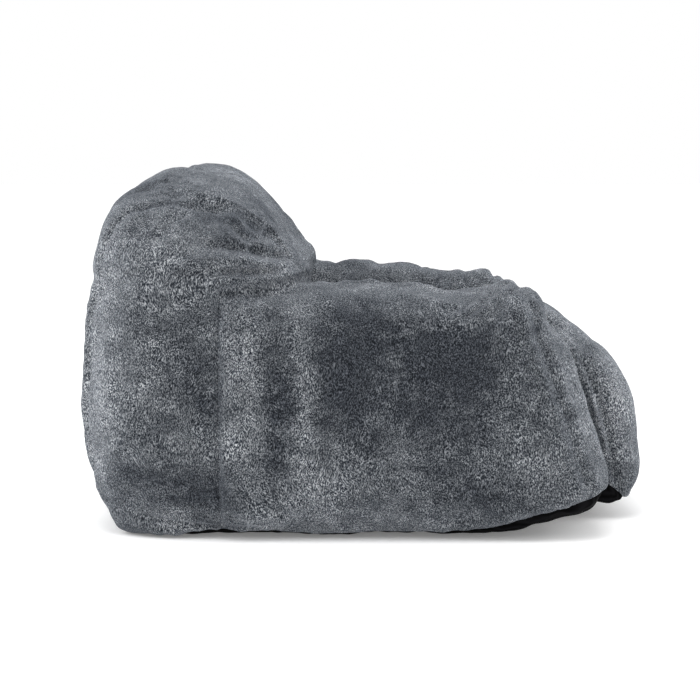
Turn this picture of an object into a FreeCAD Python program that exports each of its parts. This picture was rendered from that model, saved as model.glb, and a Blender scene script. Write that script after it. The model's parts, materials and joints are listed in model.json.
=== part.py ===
"""Bean bag armchair: four stuffed chambers (backrest, two arms, seat) inside a cover of plush panels.

Millimetres. +Z is up, the chair faces -Y and +X is the sitter's left. The origin is on the floor,
under the middle of the chair's overall box.

Every chamber is drawn once as a form that can be inset. Its layers, from outside in, are the plush
cover, a thin liner bag and the bead fill, and each layer is the same form at a deeper inset. The
cover is then cut along its seams into panels. A zip for filling lies in the slanted heel of the back.
"""
import FreeCAD
import Part
import Sketcher
import os

from FreeCAD import Vector

DRIVING_SIZES = [
    ("overall_width", 900, "across the two arms"),
    ("overall_depth", 970, "from the back to the seat's front bulge"),
    ("overall_height", 620, "floor to the top of the backrest"),
    ("cover_thick", 4, "plush fabric with its pile pressed flat"),
    ("liner_thick", 1, "liner bag"),
    ("layer_gap", 0.5, "free space between two layers"),
    ("side_gap", 1.5, "free space between two neighbouring chambers"),
    ("floor_gap", 0.8, "plush cover above the floor"),
    ("base_thick", 4, "doubled black base cloth"),
    ("base_under_roll", 12, "base cloth reaches this far under the arms' rounding"),
    ("base_corner", 135, "corner radius of the base cloth"),
    ("base_setback", 10, "front edge of the base cloth behind the arms' toes"),
    ("rise_start_in", 285, "the base starts to rise this far behind the front"),
    ("rise_radius", 430, "the base rises along this radius"),
    ("arm_width", 212, "one arm across"),
    ("arm_height", 422, "top of an arm"),
    ("arm_top_in", 175, "end of an arm's top behind the front"),
    ("arm_toe_in", 63, "foot of an arm's leaning front behind the front"),
    ("arm_toe_height", 72, "height of that foot"),
    ("arm_roll", 64, "rounding along an arm's two sides"),
    ("arm_brow", 95, "rounding of an arm's upper front corner, seen from the side"),
    ("toe_extra", 3, "the toe is rounded by this much more than the arm's sides"),
    ("arm_front_strip", 45, "depth of the narrow panel on an arm's front"),
    ("seat_rear_in", 335, "back of the seat chamber in front of the rear"),
    ("seat_rear_height", 306, "seat surface at the backrest"),
    ("seat_hem", 5, "plush on the arms' inner sides starts this far above that"),
    ("bulge_radius", 236, "front of the seat, seen from the side"),
    ("bulge_height", 148, "centre of that radius above the floor"),
    ("seat_roll", 60, "rounding along the seat's two sides"),
    ("back_depth", 243, "arms end this far in front of the rear"),
    ("belly_side_in", 4, "backrest's widest part in from the chair's sides"),
    ("heel_side_in", 14, "top of the slanted heel in from the chair's sides"),
    ("foot_side_in", 34, "foot of the heel in from the chair's sides"),
    ("shoulder_side_in", 25, "foot of the dome in from the chair's sides"),
    ("foot_rear_in", 70, "foot of the heel in from the rear"),
    ("heel_rear_in", 17, "top of the heel in from the rear"),
    ("heel_height", 102, "height of the top of the heel"),
    ("belly_height", 270, "height where the back stands out most"),
    ("dome_clear", 4, "the dome starts this far above the arms"),
    ("shoulder_rear_in", 23, "foot of the dome in from the rear"),
    ("shoulder_round", 145, "rounding of the backrest's rear corners, seen from above"),
    ("foot_round", 112, "the same at the foot of the heel"),
    ("block_front_round", 20, "rounding of its corners against the arms"),
    ("lumbar_clear", 12, "the backrest leans out over the seat from this far above it"),
    ("crest_in", 162, "top of the dome in from the rear"),
    ("dome_front_in", 390, "front of the dome over the arms in from the rear"),
    ("dome_cap", 212, "width of the nearly flat crown"),
    ("side_panel_wide", 85, "backrest's side panels, in from the dome's sides"),
    ("zip_height", 48, "middle of the zip above the floor"),
    ("zip_end_in", 11, "ends of the teeth in from the heel's rounded corners"),
    ("zip_slot_end", 20, "slot past each end of the teeth"),
    ("tape_reach", 13.5, "outer edge of a zip tape from the middle of the zip"),
    ("tape_thick", 1, "zip tape"),
    ("teeth_inner", 0.9, "inner edge of a row of teeth from the middle"),
    ("teeth_outer", 3.2, "outer edge of a row of teeth"),
    ("teeth_thick", 2.2, "thickness of a row of teeth"),
    ("slider_length", 13, "zip slider"),
    ("slider_half_width", 4.6, "half the slider's width"),
    ("slider_wall", 1, "each plate of the slider"),
    ("slider_clear", 0.3, "slider clear of the teeth"),
    ("slider_liner_gap", 0.6, "slider clear of the liner bag"),
    ("slider_post", 0.6, "half the width of the post between the plates"),
    ("slider_park", 7, "middle of the closed slider from the end of the teeth"),
    ("stop_length", 3, "zip stop"),
]

DERIVED_SIZES = [
    ("front", "=overall_depth / 2", "the seat's bulge, in front of the middle"),
    ("rear", "=overall_depth / 2", "the backrest's belly, behind the middle"),
    ("flat_front", "=front - rise_start_in", "the base starts to rise, in front of the middle"),
    ("arm_rear", "=rear - back_depth", "end of the arms behind the middle"),
    ("arm_top_front", "=front - arm_top_in", "end of an arm's top, in front of the middle"),
    ("arm_toe_front", "=front - arm_toe_in", "foot of its leaning front"),
    ("arm_middle", "=overall_width / 2 - arm_width / 2", "middle of an arm from the chair's middle"),
    ("arm_lean", "=(arm_toe_front - arm_top_front) / (arm_height - arm_toe_height)", "run per rise"),
    ("arm_lean_long", "=sqrt(1 + arm_lean ^ 2)", "length per rise of that lean"),
    ("seat_half_width", "=overall_width / 2 - arm_width - side_gap", "half the seat's width"),
    ("seat_rear", "=rear - seat_rear_in", "back of the seat chamber behind the middle"),
    ("seat_side_height", "=seat_rear_height + seat_hem", "hidden cloth replaces plush below this"),
    ("bulge_centre", "=front - bulge_radius", "centre of the bulge, before the middle"),
    ("block_front", "=arm_rear + side_gap", "front of the backrest, behind the arms"),
    ("belly_half_width", "=overall_width / 2 - belly_side_in", "half the backrest's greatest width"),
    ("heel_half_width", "=overall_width / 2 - heel_side_in", "half its width at the top of the heel"),
    ("foot_half_width", "=overall_width / 2 - foot_side_in", "half its width on the floor"),
    ("shoulder_half_width", "=overall_width / 2 - shoulder_side_in", "half the dome's width"),
    ("foot_rear", "=rear - foot_rear_in", "heel's edge on the floor, behind the middle"),
    ("heel_rear", "=rear - heel_rear_in", "top of the heel, behind the middle"),
    ("shoulder_rear", "=rear - shoulder_rear_in", "foot of the dome, behind the middle"),
    ("shoulder_height", "=arm_height + dome_clear", "the dome starts here, just over the arms"),
    ("dome_crest", "=rear - crest_in", "top of the dome, behind the middle"),
    ("dome_front", "=rear - dome_front_in", "front of the dome over the arms"),
    ("side_panel_seam", "=shoulder_half_width - side_panel_wide", "seam of the side panels"),
    ("heel_run", "=heel_rear - foot_rear", "how far the heel slants out"),
    ("heel_rise", "=heel_height - floor_gap", "over this height"),
    ("heel_lean", "=atan(heel_run / heel_rise)", "heel from the vertical, degrees"),
    ("zip_rear", "=foot_rear + heel_run * (zip_height - floor_gap) / heel_rise", "zip on the heel"),
    ("zip_length", "=2 * (heel_half_width - shoulder_round - zip_end_in)", "row of teeth"),
    ("base_half_width", "=overall_width / 2 - arm_roll + base_under_roll", "half the base cloth's width"),
    ("base_front", "=arm_toe_front - base_setback", "front edge of the base cloth"),
    ("base_rear", "=foot_rear - side_gap - cover_thick", "rear edge of the base cloth"),
    ("slider_deep", "=cover_thick + layer_gap - slider_liner_gap", "slider below the cover's face"),
    ("teeth_sink", "=slider_deep - slider_wall - slider_clear - teeth_thick", "teeth below that face"),
    ("tape_sink", "=teeth_sink + teeth_thick / 2 - tape_thick / 2", "tapes below it"),
]

DOME_STEPS = (0.0, 0.32, 0.58, 0.78, 0.91, 0.985)  # share of the dome's rise at each of its rings
DOME_SQUARENESS = 2.3  # 2 would be an ellipse seen from the front, more is squarer
DOME_CAP_SHARE = round((1 - DOME_STEPS[-1] ** DOME_SQUARENESS) ** (1 / DOME_SQUARENESS), 4)
FOOT_ROUND = "min(foot_round; foot_rear - block_front - block_front_round - side_gap)"
CUT_SLACK = 0.2  # a cutter clears a face that it isn't meant to touch by this much
NEAR = 0.01  # two places closer than this are the same place

# Limits of the boxes that divide a cover: well past the chair on every side.
WIDE = "overall_width"
DEEP = "overall_depth"
TALL = "overall_height + 50"
UNDER = "-10"

# Insets of each layer of a chamber, from its cover's outer face inwards.
LAYERS = {
    "Cover": "0",
    "Pocket": "cover_thick",
    "Liner": "cover_thick + layer_gap",
    "Hollow": "cover_thick + layer_gap + liner_thick",
    "Fill": "cover_thick + 2 * layer_gap + liner_thick",
}

document = FreeCAD.newDocument("bean_bag_chair")
sizes = document.addObject("Spreadsheet::Sheet", "Sizes")
nodes = []


def fill_sheet():
    """Writes every size to the sheet: its value in column B under its alias, its meaning in column C."""
    for row, (alias, value, meaning) in enumerate(DRIVING_SIZES + DERIVED_SIZES, start=1):
        sizes.set(f"A{row}", alias)
        sizes.set(f"B{row}", str(value))
        sizes.setAlias(f"B{row}", alias)
        sizes.set(f"C{row}", meaning)
    document.recompute()


def bound(text):
    """The expression with each alias in it written as a cell of the sheet."""
    names = {alias for alias, _, _ in DRIVING_SIZES + DERIVED_SIZES}
    word, out = "", ""
    for letter in text + " ":
        if letter.isalnum() or letter == "_":
            word += letter
        else:
            out += f"Sizes.{word}" if word in names else word
            out += letter
            word = ""
    return out.strip()


def value_of(text):
    """The expression's number now."""
    result = sizes.evalExpression(bound(text))
    return float(getattr(result, "Value", result))


def bind(item, prop, text):
    """Binds a property to an expression in the sheet's aliases."""
    item.setExpression(prop, bound(text))


def new_body(name):
    """An empty PartDesign body."""
    return document.addObject("PartDesign::Body", name)


def new_sketch(body, name, plane, offset="0"):
    """A sketch on one of the body's origin planes, lifted along the plane's normal."""
    sketch = body.newObject("Sketcher::SketchObject", name)
    support = next(f for f in body.Origin.OriginFeatures if f.Role == plane)
    sketch.AttachmentSupport = [(support, "")]
    sketch.MapMode = "FlatFace"
    bind(sketch, "AttachmentOffset.Base.z", offset)
    return sketch


def constrain(sketch, *terms):
    """A constraint whose last term is an expression."""
    *geometry, text = terms
    index = sketch.addConstraint(Sketcher.Constraint(*geometry, value_of(text)))
    sketch.setExpression(f"Constraints[{index}]", bound(text))


def fix_point(sketch, edge, end, across, up):
    """Holds a sketch point at a place given by two expressions."""
    constrain(sketch, "DistanceX", -1, 1, edge, end, across)
    constrain(sketch, "DistanceY", -1, 1, edge, end, up)


def arc_between(start, end, radius, bend):
    """An arc from start to end. It turns left for bend 1 and right for bend -1."""
    chord = end - start
    half = chord.Length / 2
    side = Vector(-chord.y, chord.x, 0).normalize() * bend
    centre = (start + end) / 2 + side * max(radius ** 2 - half ** 2, 0) ** 0.5
    first, last = (start, end) if bend > 0 else (end, start)
    angles = [Vector(1, 0, 0).getAngle(p - centre) for p in (first, last)]
    angles = [a if (p - centre).y >= 0 else -a for a, p in zip(angles, (first, last))]
    circle = Part.Circle(centre, Vector(0, 0, 1), radius)
    return Part.ArcOfCircle(circle, angles[0], angles[1])


def draw_outline(sketch, corners, arcs=None):
    """A closed outline through corners, each a pair of expressions.

    arcs gives, for the edge that leaves a corner, its radius and its bend: 1 turns left, -1 right.
    """
    arcs = arcs or {}
    points = [Vector(value_of(across), value_of(up), 0) for across, up in corners]
    count = len(points)
    ends = []
    for k in range(count):
        start, end = points[k], points[(k + 1) % count]
        if k in arcs:
            radius, bend = arcs[k]
            sketch.addGeometry(arc_between(start, end, value_of(radius), bend))
            ends.append((1, 2) if bend > 0 else (2, 1))
        else:
            sketch.addGeometry(Part.LineSegment(start, end))
            ends.append((1, 2))
    for k in range(count):
        after = (k + 1) % count
        sketch.addConstraint(Sketcher.Constraint("Coincident", k, ends[k][1], after, ends[after][0]))
    for k, (across, up) in enumerate(corners):
        fix_point(sketch, k, ends[k][0], across, up)
    for k, (radius, _) in arcs.items():
        constrain(sketch, "Radius", k, radius)
    return sketch


def pad(body, name, sketch, length, symmetric=True):
    """Pads a sketch, to both sides or along its normal."""
    feature = body.newObject("PartDesign::Pad", name)
    feature.Profile = sketch
    feature.SideType = "Symmetric" if symmetric else "One side"
    bind(feature, "Length", length)
    body.Tip = feature
    document.recompute()
    return feature


def loft(body, name, rings, straight=False):
    """Adds a loft through rings of sketches."""
    feature = body.newObject("PartDesign::AdditiveLoft", name)
    feature.Profile = rings[0]
    feature.Sections = rings[1:]
    feature.Ruled = straight
    body.Tip = feature
    document.recompute()
    return feature


def fillet(body, name, wanted, radius):
    """Rounds the edges of the body's tip for which wanted(edge) is true."""
    base = body.Tip
    edges = [f"Edge{n}" for n, edge in enumerate(base.Shape.Edges, start=1) if wanted(edge)]
    if not edges:
        raise RuntimeError(f"{body.Name}: no edge to round for {name}")
    feature = body.newObject("PartDesign::Fillet", name)
    feature.Base = (base, edges)
    bind(feature, "Radius", radius)
    body.Tip = feature
    document.recompute()
    return feature


def box(name, low, high):
    """A box between two corners, each three expressions."""
    item = document.addObject("Part::Box", name)
    for side, axis, from_text, to_text in zip(("Length", "Width", "Height"), "xyz", low, high):
        bind(item, side, f"({to_text}) - ({from_text})")
        bind(item, f"Placement.Base.{axis}", from_text)
    return item


def cut(name, base, *tools):
    """base less each tool in turn."""
    for step, tool in enumerate(tools):
        item = document.addObject("Part::Cut", name if step == len(tools) - 1 else f"{name}_{step}")
        item.Base, item.Tool = base, tool
        base = item
    document.recompute()
    return base


def common(name, base, tool):
    """What base shares with a tool."""
    item = document.addObject("Part::Common", name)
    item.Base, item.Tool = base, tool
    document.recompute()
    return item


def mirrored(name, source):
    """The same piece on the chair's other side."""
    item = document.addObject("Part::Mirroring", name)
    item.Source = source
    item.Base = Vector(0, 0, 0)
    item.Normal = Vector(1, 0, 0)
    document.recompute()
    return item


def keep(item, node):
    """Marks an object as a sub-part, to be written under this name."""
    item.Label = node
    nodes.append((node, item))
    return item


def keep_pair(item, node):
    """Keeps a left-hand piece and its mirror image on the right."""
    keep(item, f"{node}_left")
    keep(mirrored(f"{item.Name}_Right", item), f"{node}_right")


def layered(form, label):
    """A chamber's form at every layer's inset. Its fill is one of them."""
    return {layer: form(f"{label}_{layer}", inset) for layer, inset in LAYERS.items()}


def liner_bag(label, forms):
    """A chamber's liner: a thin closed bag round its fill."""
    return cut(f"{label}_Liner_Bag", forms["Liner"], forms["Hollow"])


def runs_across(edge):
    """True for an edge along X."""
    return edge.BoundBox.XLength > 1 and edge.BoundBox.YLength < NEAR and edge.BoundBox.ZLength < NEAR


def runs_up(edge):
    """True for an edge along its body's own Z."""
    return edge.BoundBox.ZLength > NEAR and edge.BoundBox.XLength < NEAR and edge.BoundBox.YLength < NEAR


def lies_at_y(edge, y):
    """True for an edge whose ends both lie at this Y."""
    return all(abs(vertex.Y - y) < NEAR for vertex in edge.Vertexes)


# ---------------------------------------------------------------- base


def base_rise(distance, inset):
    """Height of the base's contour, raised by inset, at a distance in front of the middle."""
    run = f"(({distance}) - flat_front)"
    return f"(rise_radius - sqrt((rise_radius - ({inset})) ^ 2 - {run} ^ 2))"


def base_form(name, half_width, rear, front, low, high):
    """A slab between two insets of the base's contour: flat, then turned up at the front."""
    body = new_body(name)
    sketch = new_sketch(body, f"{name}_side", "YZ_Plane")
    corners = [
        ("-(flat_front)", low),
        (rear, low),
        (rear, high),
        ("-(flat_front)", high),
        (f"-({front})", base_rise(front, high)),
        (f"-({front})", base_rise(front, low)),
    ]
    arcs = {3: (f"rise_radius - ({high})", -1), 5: (f"rise_radius - ({low})", 1)}
    draw_outline(sketch, corners, arcs)
    pad(body, f"{name}_pad", sketch, f"2 * ({half_width})")
    return body


def build_base():
    """The black base cloth. Returns the cutter that opens the plush covers over it."""
    base = base_form("Base", "base_half_width", "base_rear", "base_front", "0", "base_thick")
    rear = value_of("base_rear")
    fillet(base, "Base_corners", lambda edge: runs_up(edge) and lies_at_y(edge, rear), "base_corner")
    keep(base, "base_panel")
    high = f"floor_gap + cover_thick + {CUT_SLACK}"
    return base_form(
        "Base_opening", "base_half_width + 1", "base_rear + 1", "base_front + 1", UNDER, high
    )


# ---------------------------------------------------------------- arms


def arm_form(name, inset):
    """The left arm's chamber: a cushion with a leaning front and a base that rises to its toe."""
    body = new_body(name)
    sketch = new_sketch(body, f"{name}_side", "YZ_Plane", "arm_middle")
    bottom = f"floor_gap + ({inset})"
    top = f"arm_height - ({inset})"
    rear = f"arm_rear - ({inset})"
    front_top = f"arm_top_front + arm_lean * ({inset}) - arm_lean_long * ({inset})"
    front_toe = f"arm_toe_front - arm_lean_long * ({inset})"
    corners = [
        ("-(flat_front)", bottom),
        (rear, bottom),
        (rear, top),
        (f"-({front_top})", top),
        (f"-({front_toe})", base_rise(front_toe, bottom)),
    ]
    draw_outline(sketch, corners, {4: (f"rise_radius - ({bottom})", 1)})
    pad(body, f"{name}_pad", sketch, f"arm_width - 2 * ({inset})")
    front_corners = {"brow": (front_top, "arm_brow"), "toe": (front_toe, "arm_roll + toe_extra")}
    for label, (place, radius) in front_corners.items():
        y = -value_of(place)
        fillet(
            body, f"{name}_{label}", lambda edge: runs_across(edge) and lies_at_y(edge, y),
            f"{radius} - ({inset})",
        )
    rear_y = value_of(rear)
    fillet(
        body, f"{name}_rolls",
        lambda edge: edge.BoundBox.XLength < NEAR and not lies_at_y(edge, rear_y),
        f"arm_roll - ({inset})",
    )
    return body


def arm_front_zone():
    """A wedge in front of a plane parallel to the arms' leaning front."""
    body = new_body("Arm_front_zone")
    sketch = new_sketch(body, "Arm_front_zone_side", "YZ_Plane")
    strip = "arm_front_strip * arm_lean_long"
    low_front = f"-(arm_toe_front + arm_lean * (arm_toe_height - ({UNDER}))) + {strip}"
    high_front = f"-(arm_top_front - arm_lean * (({TALL}) - arm_height)) + {strip}"
    corners = [(low_front, UNDER), (high_front, TALL), (f"-({DEEP})", TALL), (f"-({DEEP})", UNDER)]
    draw_outline(sketch, corners)
    pad(body, "Arm_front_zone_pad", sketch, f"2 * {WIDE}")
    return body


def build_arms(opening):
    """Both arms: covers in three plush panels and a hidden partition, liner bags and fills."""
    forms = layered(arm_form, "Arm")
    keep_pair(liner_bag("Arm", forms), "arm_liner")
    keep_pair(forms["Fill"], "arm_fill")
    rear_wall = box("Arm_rear_wall", ("0", "arm_rear - cover_thick", UNDER), (WIDE, "arm_rear + 1", TALL))
    cover = cut("Arm_shell", forms["Cover"], forms["Pocket"], opening, rear_wall)
    front_zone = arm_front_zone()
    keep_pair(common("Arm_front", cover, front_zone), "arm_front_panel")
    rest = cut("Arm_rest", cover, front_zone)
    seam, hem = "arm_middle", "seat_side_height"
    outer = box("Arm_outer_zone", (seam, f"-({DEEP})", UNDER), (WIDE, DEEP, TALL))
    keep_pair(common("Arm_outer", rest, outer), "arm_outer_panel")
    inner = box("Arm_inner_zone", ("0", f"-({DEEP})", hem), (seam, DEEP, TALL))
    keep_pair(common("Arm_inner", rest, inner), "arm_inner_panel")
    hidden = box("Arm_hidden_zone", ("0", f"-({DEEP})", UNDER), (seam, DEEP, hem))
    keep_pair(common("Arm_hidden", rest, hidden), "arm_partition")


# ---------------------------------------------------------------- seat


def nearer_crossing(centre, radius, other, other_radius):
    """The crossing of two circles that lies nearer to the front."""
    apart = other - centre
    along = (apart.Length ** 2 + radius ** 2 - other_radius ** 2) / (2 * apart.Length)
    aside = (radius ** 2 - along ** 2) ** 0.5
    unit = Vector(apart).normalize()
    across = Vector(-unit.y, unit.x, 0)
    return min((centre + unit * along + across * aside * side for side in (1, -1)), key=lambda p: p.x)


def seat_form(name, inset):
    """The seat chamber: its top slopes up to a crown and turns down in one round bulge."""
    body = new_body(name)
    sketch = new_sketch(body, f"{name}_side", "YZ_Plane")
    bottom = f"floor_gap + ({inset})"
    rear = f"seat_rear - ({inset})"
    top = f"seat_rear_height - ({inset})"
    bulge = value_of(f"bulge_radius - ({inset})")
    rise = value_of(f"rise_radius - ({bottom})")
    bulge_middle = Vector(-value_of("bulge_centre"), value_of("bulge_height"), 0)
    rise_middle = Vector(-value_of("flat_front"), value_of("rise_radius"), 0)
    flat_end = Vector(-value_of("flat_front"), value_of(bottom), 0)
    rear_low = Vector(value_of(rear), value_of(bottom), 0)
    rear_top = Vector(value_of(rear), value_of(top), 0)
    crown = bulge_middle + Vector(0, bulge, 0)  # the tangency moves it back along the bulge
    lip = nearer_crossing(bulge_middle, bulge, rise_middle, rise)
    for start, end in ((flat_end, rear_low), (rear_low, rear_top), (rear_top, crown)):
        sketch.addGeometry(Part.LineSegment(start, end))
    sketch.addGeometry(arc_between(crown, lip, bulge, 1))
    sketch.addGeometry(arc_between(lip, flat_end, rise, 1))
    for first, second in ((0, 1), (1, 2), (3, 4), (4, 0)):
        sketch.addConstraint(Sketcher.Constraint("Coincident", first, 2, second, 1))
    sketch.addConstraint(Sketcher.Constraint("Tangent", 2, 2, 3, 1))
    fix_point(sketch, 0, 1, "-(flat_front)", bottom)
    fix_point(sketch, 0, 2, rear, bottom)
    fix_point(sketch, 1, 2, rear, top)
    fix_point(sketch, 3, 3, "-(bulge_centre)", "bulge_height")
    constrain(sketch, "Radius", 3, f"bulge_radius - ({inset})")
    fix_point(sketch, 4, 3, "-(flat_front)", "rise_radius")
    pad(body, f"{name}_pad", sketch, f"2 * (seat_half_width - ({inset}))")

    def on_a_side_above_the_bulge(edge):
        middle = edge.valueAt((edge.FirstParameter + edge.LastParameter) / 2)
        upper = middle.z > bulge_middle.y and not lies_at_y(edge, rear_top.x)
        return edge.BoundBox.XLength < NEAR and upper

    fillet(body, f"{name}_rolls", on_a_side_above_the_bulge, f"seat_roll - ({inset})")
    return body


def build_seat(opening):
    """The seat: one plush panel over its top, front and sides, its liner bag and its fill."""
    forms = layered(seat_form, "Seat")
    keep(liner_bag("Seat", forms), "seat_liner")
    keep(forms["Fill"], "seat_fill")
    rear_wall = box(
        "Seat_rear_wall", (f"-({WIDE})", "seat_rear - cover_thick", UNDER), (WIDE, "seat_rear + 1", TALL)
    )
    keep(cut("Seat_shell", forms["Cover"], forms["Pocket"], opening, rear_wall), "seat_panel")


# ---------------------------------------------------------------- backrest


def ring(body, name, height, half_width, front, rear, front_round, rear_round):
    """A rounded rectangle across the backrest at one height."""
    sketch = new_sketch(body, name, "XY_Plane", height)
    w, f, r = f"({half_width})", f"({front})", f"({rear})"
    a, b = f"({front_round})", f"({rear_round})"
    corners = [
        (f"-{w} + {a}", f),
        (f"{w} - {a}", f),
        (w, f"{f} + {a}"),
        (w, f"{r} - {b}"),
        (f"{w} - {b}", r),
        (f"-{w} + {b}", r),
        (f"-{w}", f"{r} - {b}"),
        (f"-{w}", f"{f} + {a}"),
    ]
    return draw_outline(sketch, corners, {1: (a, 1), 3: (b, 1), 5: (b, 1), 7: (a, 1)})


def add_block(body, name, inset):
    """The upright part behind the arms: a slanted heel below, a belly and shoulders above."""
    def block_ring(label, height, half_width, rear, rear_round="shoulder_round"):
        return ring(
            body, f"{name}_{label}", height, f"{half_width} - {inset}", f"block_front + {inset}",
            f"{rear} - {inset}", f"block_front_round - {inset}", f"{rear_round} - {inset}",
        )

    foot = block_ring("foot", f"floor_gap + {inset}", "foot_half_width", "foot_rear", FOOT_ROUND)
    heel = block_ring("heel", "heel_height", "heel_half_width", "heel_rear")
    loft(body, f"{name}_heel_loft", [foot, heel], straight=True)
    waist = block_ring("waist", "heel_height", "heel_half_width", "heel_rear")
    belly = block_ring("belly", "belly_height", "belly_half_width", "rear")
    neck = block_ring("neck", f"shoulder_height + {inset}", "shoulder_half_width", "shoulder_rear")
    loft(body, f"{name}_block_loft", [waist, belly, neck])


def add_lumbar(body, name, inset):
    """The part between the arms, behind the seat, which leans out under the dome's front."""
    sketch = new_sketch(body, f"{name}_lumbar", "YZ_Plane")
    front = f"seat_rear + side_gap + {inset}"
    behind = f"block_front + 2 * {inset} + block_front_round"
    shoulder = f"shoulder_height + {inset}"
    corners = [
        (front, f"floor_gap + {inset}"),
        (behind, f"floor_gap + {inset}"),
        (behind, shoulder),
        (f"dome_front + {inset} + side_gap", shoulder),
        (front, f"seat_rear_height + lumbar_clear + {inset}"),
    ]
    draw_outline(sketch, corners)
    pad(body, f"{name}_lumbar_pad", sketch, f"2 * (seat_half_width - {inset})")


def add_dome(body, name, inset):
    """The dome over the shoulders: elliptic from the side, squarer from the front, with a flat crown."""
    rise = f"(overall_height - shoulder_height - 2 * {inset})"
    rings = []
    for k, step in enumerate(DOME_STEPS):
        height = f"shoulder_height + {inset} + {rise} * {step / DOME_STEPS[-1]}"
        deep = f"(1 - {step} ^ 2) ^ (1 / 2)"
        wide = f"((1 - {step} ^ {DOME_SQUARENESS}) ^ (1 / {DOME_SQUARENESS}) - {DOME_CAP_SHARE})"
        past_cap = f"(shoulder_half_width - dome_cap / 2) * {wide} / (1 - {DOME_CAP_SHARE})"
        rounding = f"shoulder_round * {deep} - {inset}"
        rings.append(
            ring(
                body, f"{name}_dome_{k}", height, f"dome_cap / 2 + {past_cap} - {inset}",
                f"dome_crest - (dome_crest - dome_front) * {deep} + {inset}",
                f"dome_crest + (shoulder_rear - dome_crest) * {deep} - {inset}",
                rounding, rounding,
            )
        )
    loft(body, f"{name}_dome_loft", rings)


def backrest_form(name, inset):
    """The backrest's chamber in its three parts."""
    body = new_body(name)
    for add_part in (add_block, add_lumbar, add_dome):
        add_part(body, name, f"({inset})")
    return body


def build_backrest(opening):
    """The backrest: its cover in panels and partitions, its liner bag and its fill."""
    forms = layered(backrest_form, "Back")
    keep(liner_bag("Back", forms), "backrest_liner")
    keep(forms["Fill"], "backrest_fill")
    cover = cut("Back_shell", forms["Cover"], forms["Pocket"], opening, zip_slot())

    low_seam = f"shoulder_height - {CUT_SLACK}"
    behind_arm = box(
        "Behind_arm", (f"seat_half_width + {CUT_SLACK}", f"block_front - {CUT_SLACK}", UNDER),
        (WIDE, "block_front + cover_thick", low_seam),
    )
    keep_pair(common("Arm_back_wall", cover, behind_arm), "arm_back_partition")
    plush = cut("Back_plush", cover, behind_arm, mirrored("Behind_other_arm", behind_arm))

    seam, crest = "side_panel_seam", "dome_crest"
    side = box("Side_zone", (seam, f"-({DEEP})", UNDER), (WIDE, DEEP, TALL))
    keep_pair(common("Back_side", plush, side), "back_side_panel")
    left, front = f"-({seam})", f"-({DEEP})"
    zones = {
        "back_panel": ((left, crest, "zip_height"), (seam, DEEP, TALL)),
        "back_hem_band": ((left, crest, UNDER), (seam, DEEP, "zip_height")),
        "backrest_panel": ((left, front, "seat_rear_height"), (seam, crest, TALL)),
        "seat_back_partition": ((left, front, UNDER), (seam, crest, "seat_rear_height")),
    }
    for node, (low, high) in zones.items():
        keep(common(f"Cut_{node}", plush, box(f"Zone_{node}", low, high)), node)


# ---------------------------------------------------------------- zip


def zip_body(name):
    """A body in the zip's own frame: X along the zip, Y down the heel, Z out of the cover."""
    body = new_body(name)
    bind(body, "Placement.Base.y", "zip_rear")
    bind(body, "Placement.Base.z", "zip_height")
    body.Placement.Rotation = FreeCAD.Rotation(Vector(1, 0, 0), -90)
    bind(body, "Placement.Rotation.Angle", "-(90 deg + heel_lean)")
    return body


def add_bar(body, name, x_range, y_range, z_range):
    """Adds a bar to a body: a rectangle padded up from its lower face."""
    sketch = new_sketch(body, f"{name}_outline", "XY_Plane", z_range[0])
    (x0, x1), (y0, y1) = x_range, y_range
    draw_outline(sketch, [(x0, y0), (x1, y0), (x1, y1), (x0, y1)])
    pad(body, f"{name}_pad", sketch, f"({z_range[1]}) - ({z_range[0]})", symmetric=False)


def zip_bar(name, x_range, y_range, z_range):
    """A plain bar in the zip's frame, between expressions."""
    body = zip_body(name)
    add_bar(body, name, x_range, y_range, z_range)
    return body


def both_ways(size):
    """The range from a size's negative to the size."""
    return (f"-({size})", f"{size}")


def zip_slot():
    """The cutter for the zip's slot, from outside the cover to just short of the liner bag."""
    length = both_ways("zip_length / 2 + zip_slot_end")
    depth = (f"-(cover_thick + layer_gap - {CUT_SLACK})", "cover_thick")
    return zip_bar("Zip_slot", length, both_ways("tape_reach + 0.5"), depth)


def build_zip():
    """Two tapes, two rows of teeth, an end stop at each end, and the slider."""
    tape_z = ("-(tape_sink) - tape_thick", "-(tape_sink)")
    teeth_z = ("-(teeth_sink) - teeth_thick", "-(teeth_sink)")
    tape_x = both_ways("zip_length / 2 + zip_slot_end - 1")
    sides = {
        "lower": (("teeth_outer", "tape_reach"), ("teeth_inner", "teeth_outer")),
        "upper": (("-(tape_reach)", "-(teeth_outer)"), ("-(teeth_outer)", "-(teeth_inner)")),
    }
    for side, (tape_y, teeth_y) in sides.items():
        keep(zip_bar(f"Tape_{side}", tape_x, tape_y, tape_z), f"zip_tape_{side}")
        keep(zip_bar(f"Teeth_{side}", both_ways("zip_length / 2"), teeth_y, teeth_z), f"zip_teeth_{side}")
    near, far = "zip_length / 2 + layer_gap", "zip_length / 2 + layer_gap + stop_length"
    stop_y = both_ways(f"teeth_outer - {CUT_SLACK}")
    for label, ends in (("closed", (near, far)), ("open", (f"-({far})", f"-({near})"))):
        keep(zip_bar(f"Stop_{label}", ends, stop_y, teeth_z), f"zip_stop_{label}_end")
    keep(build_slider(), "zip_slider")


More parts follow.
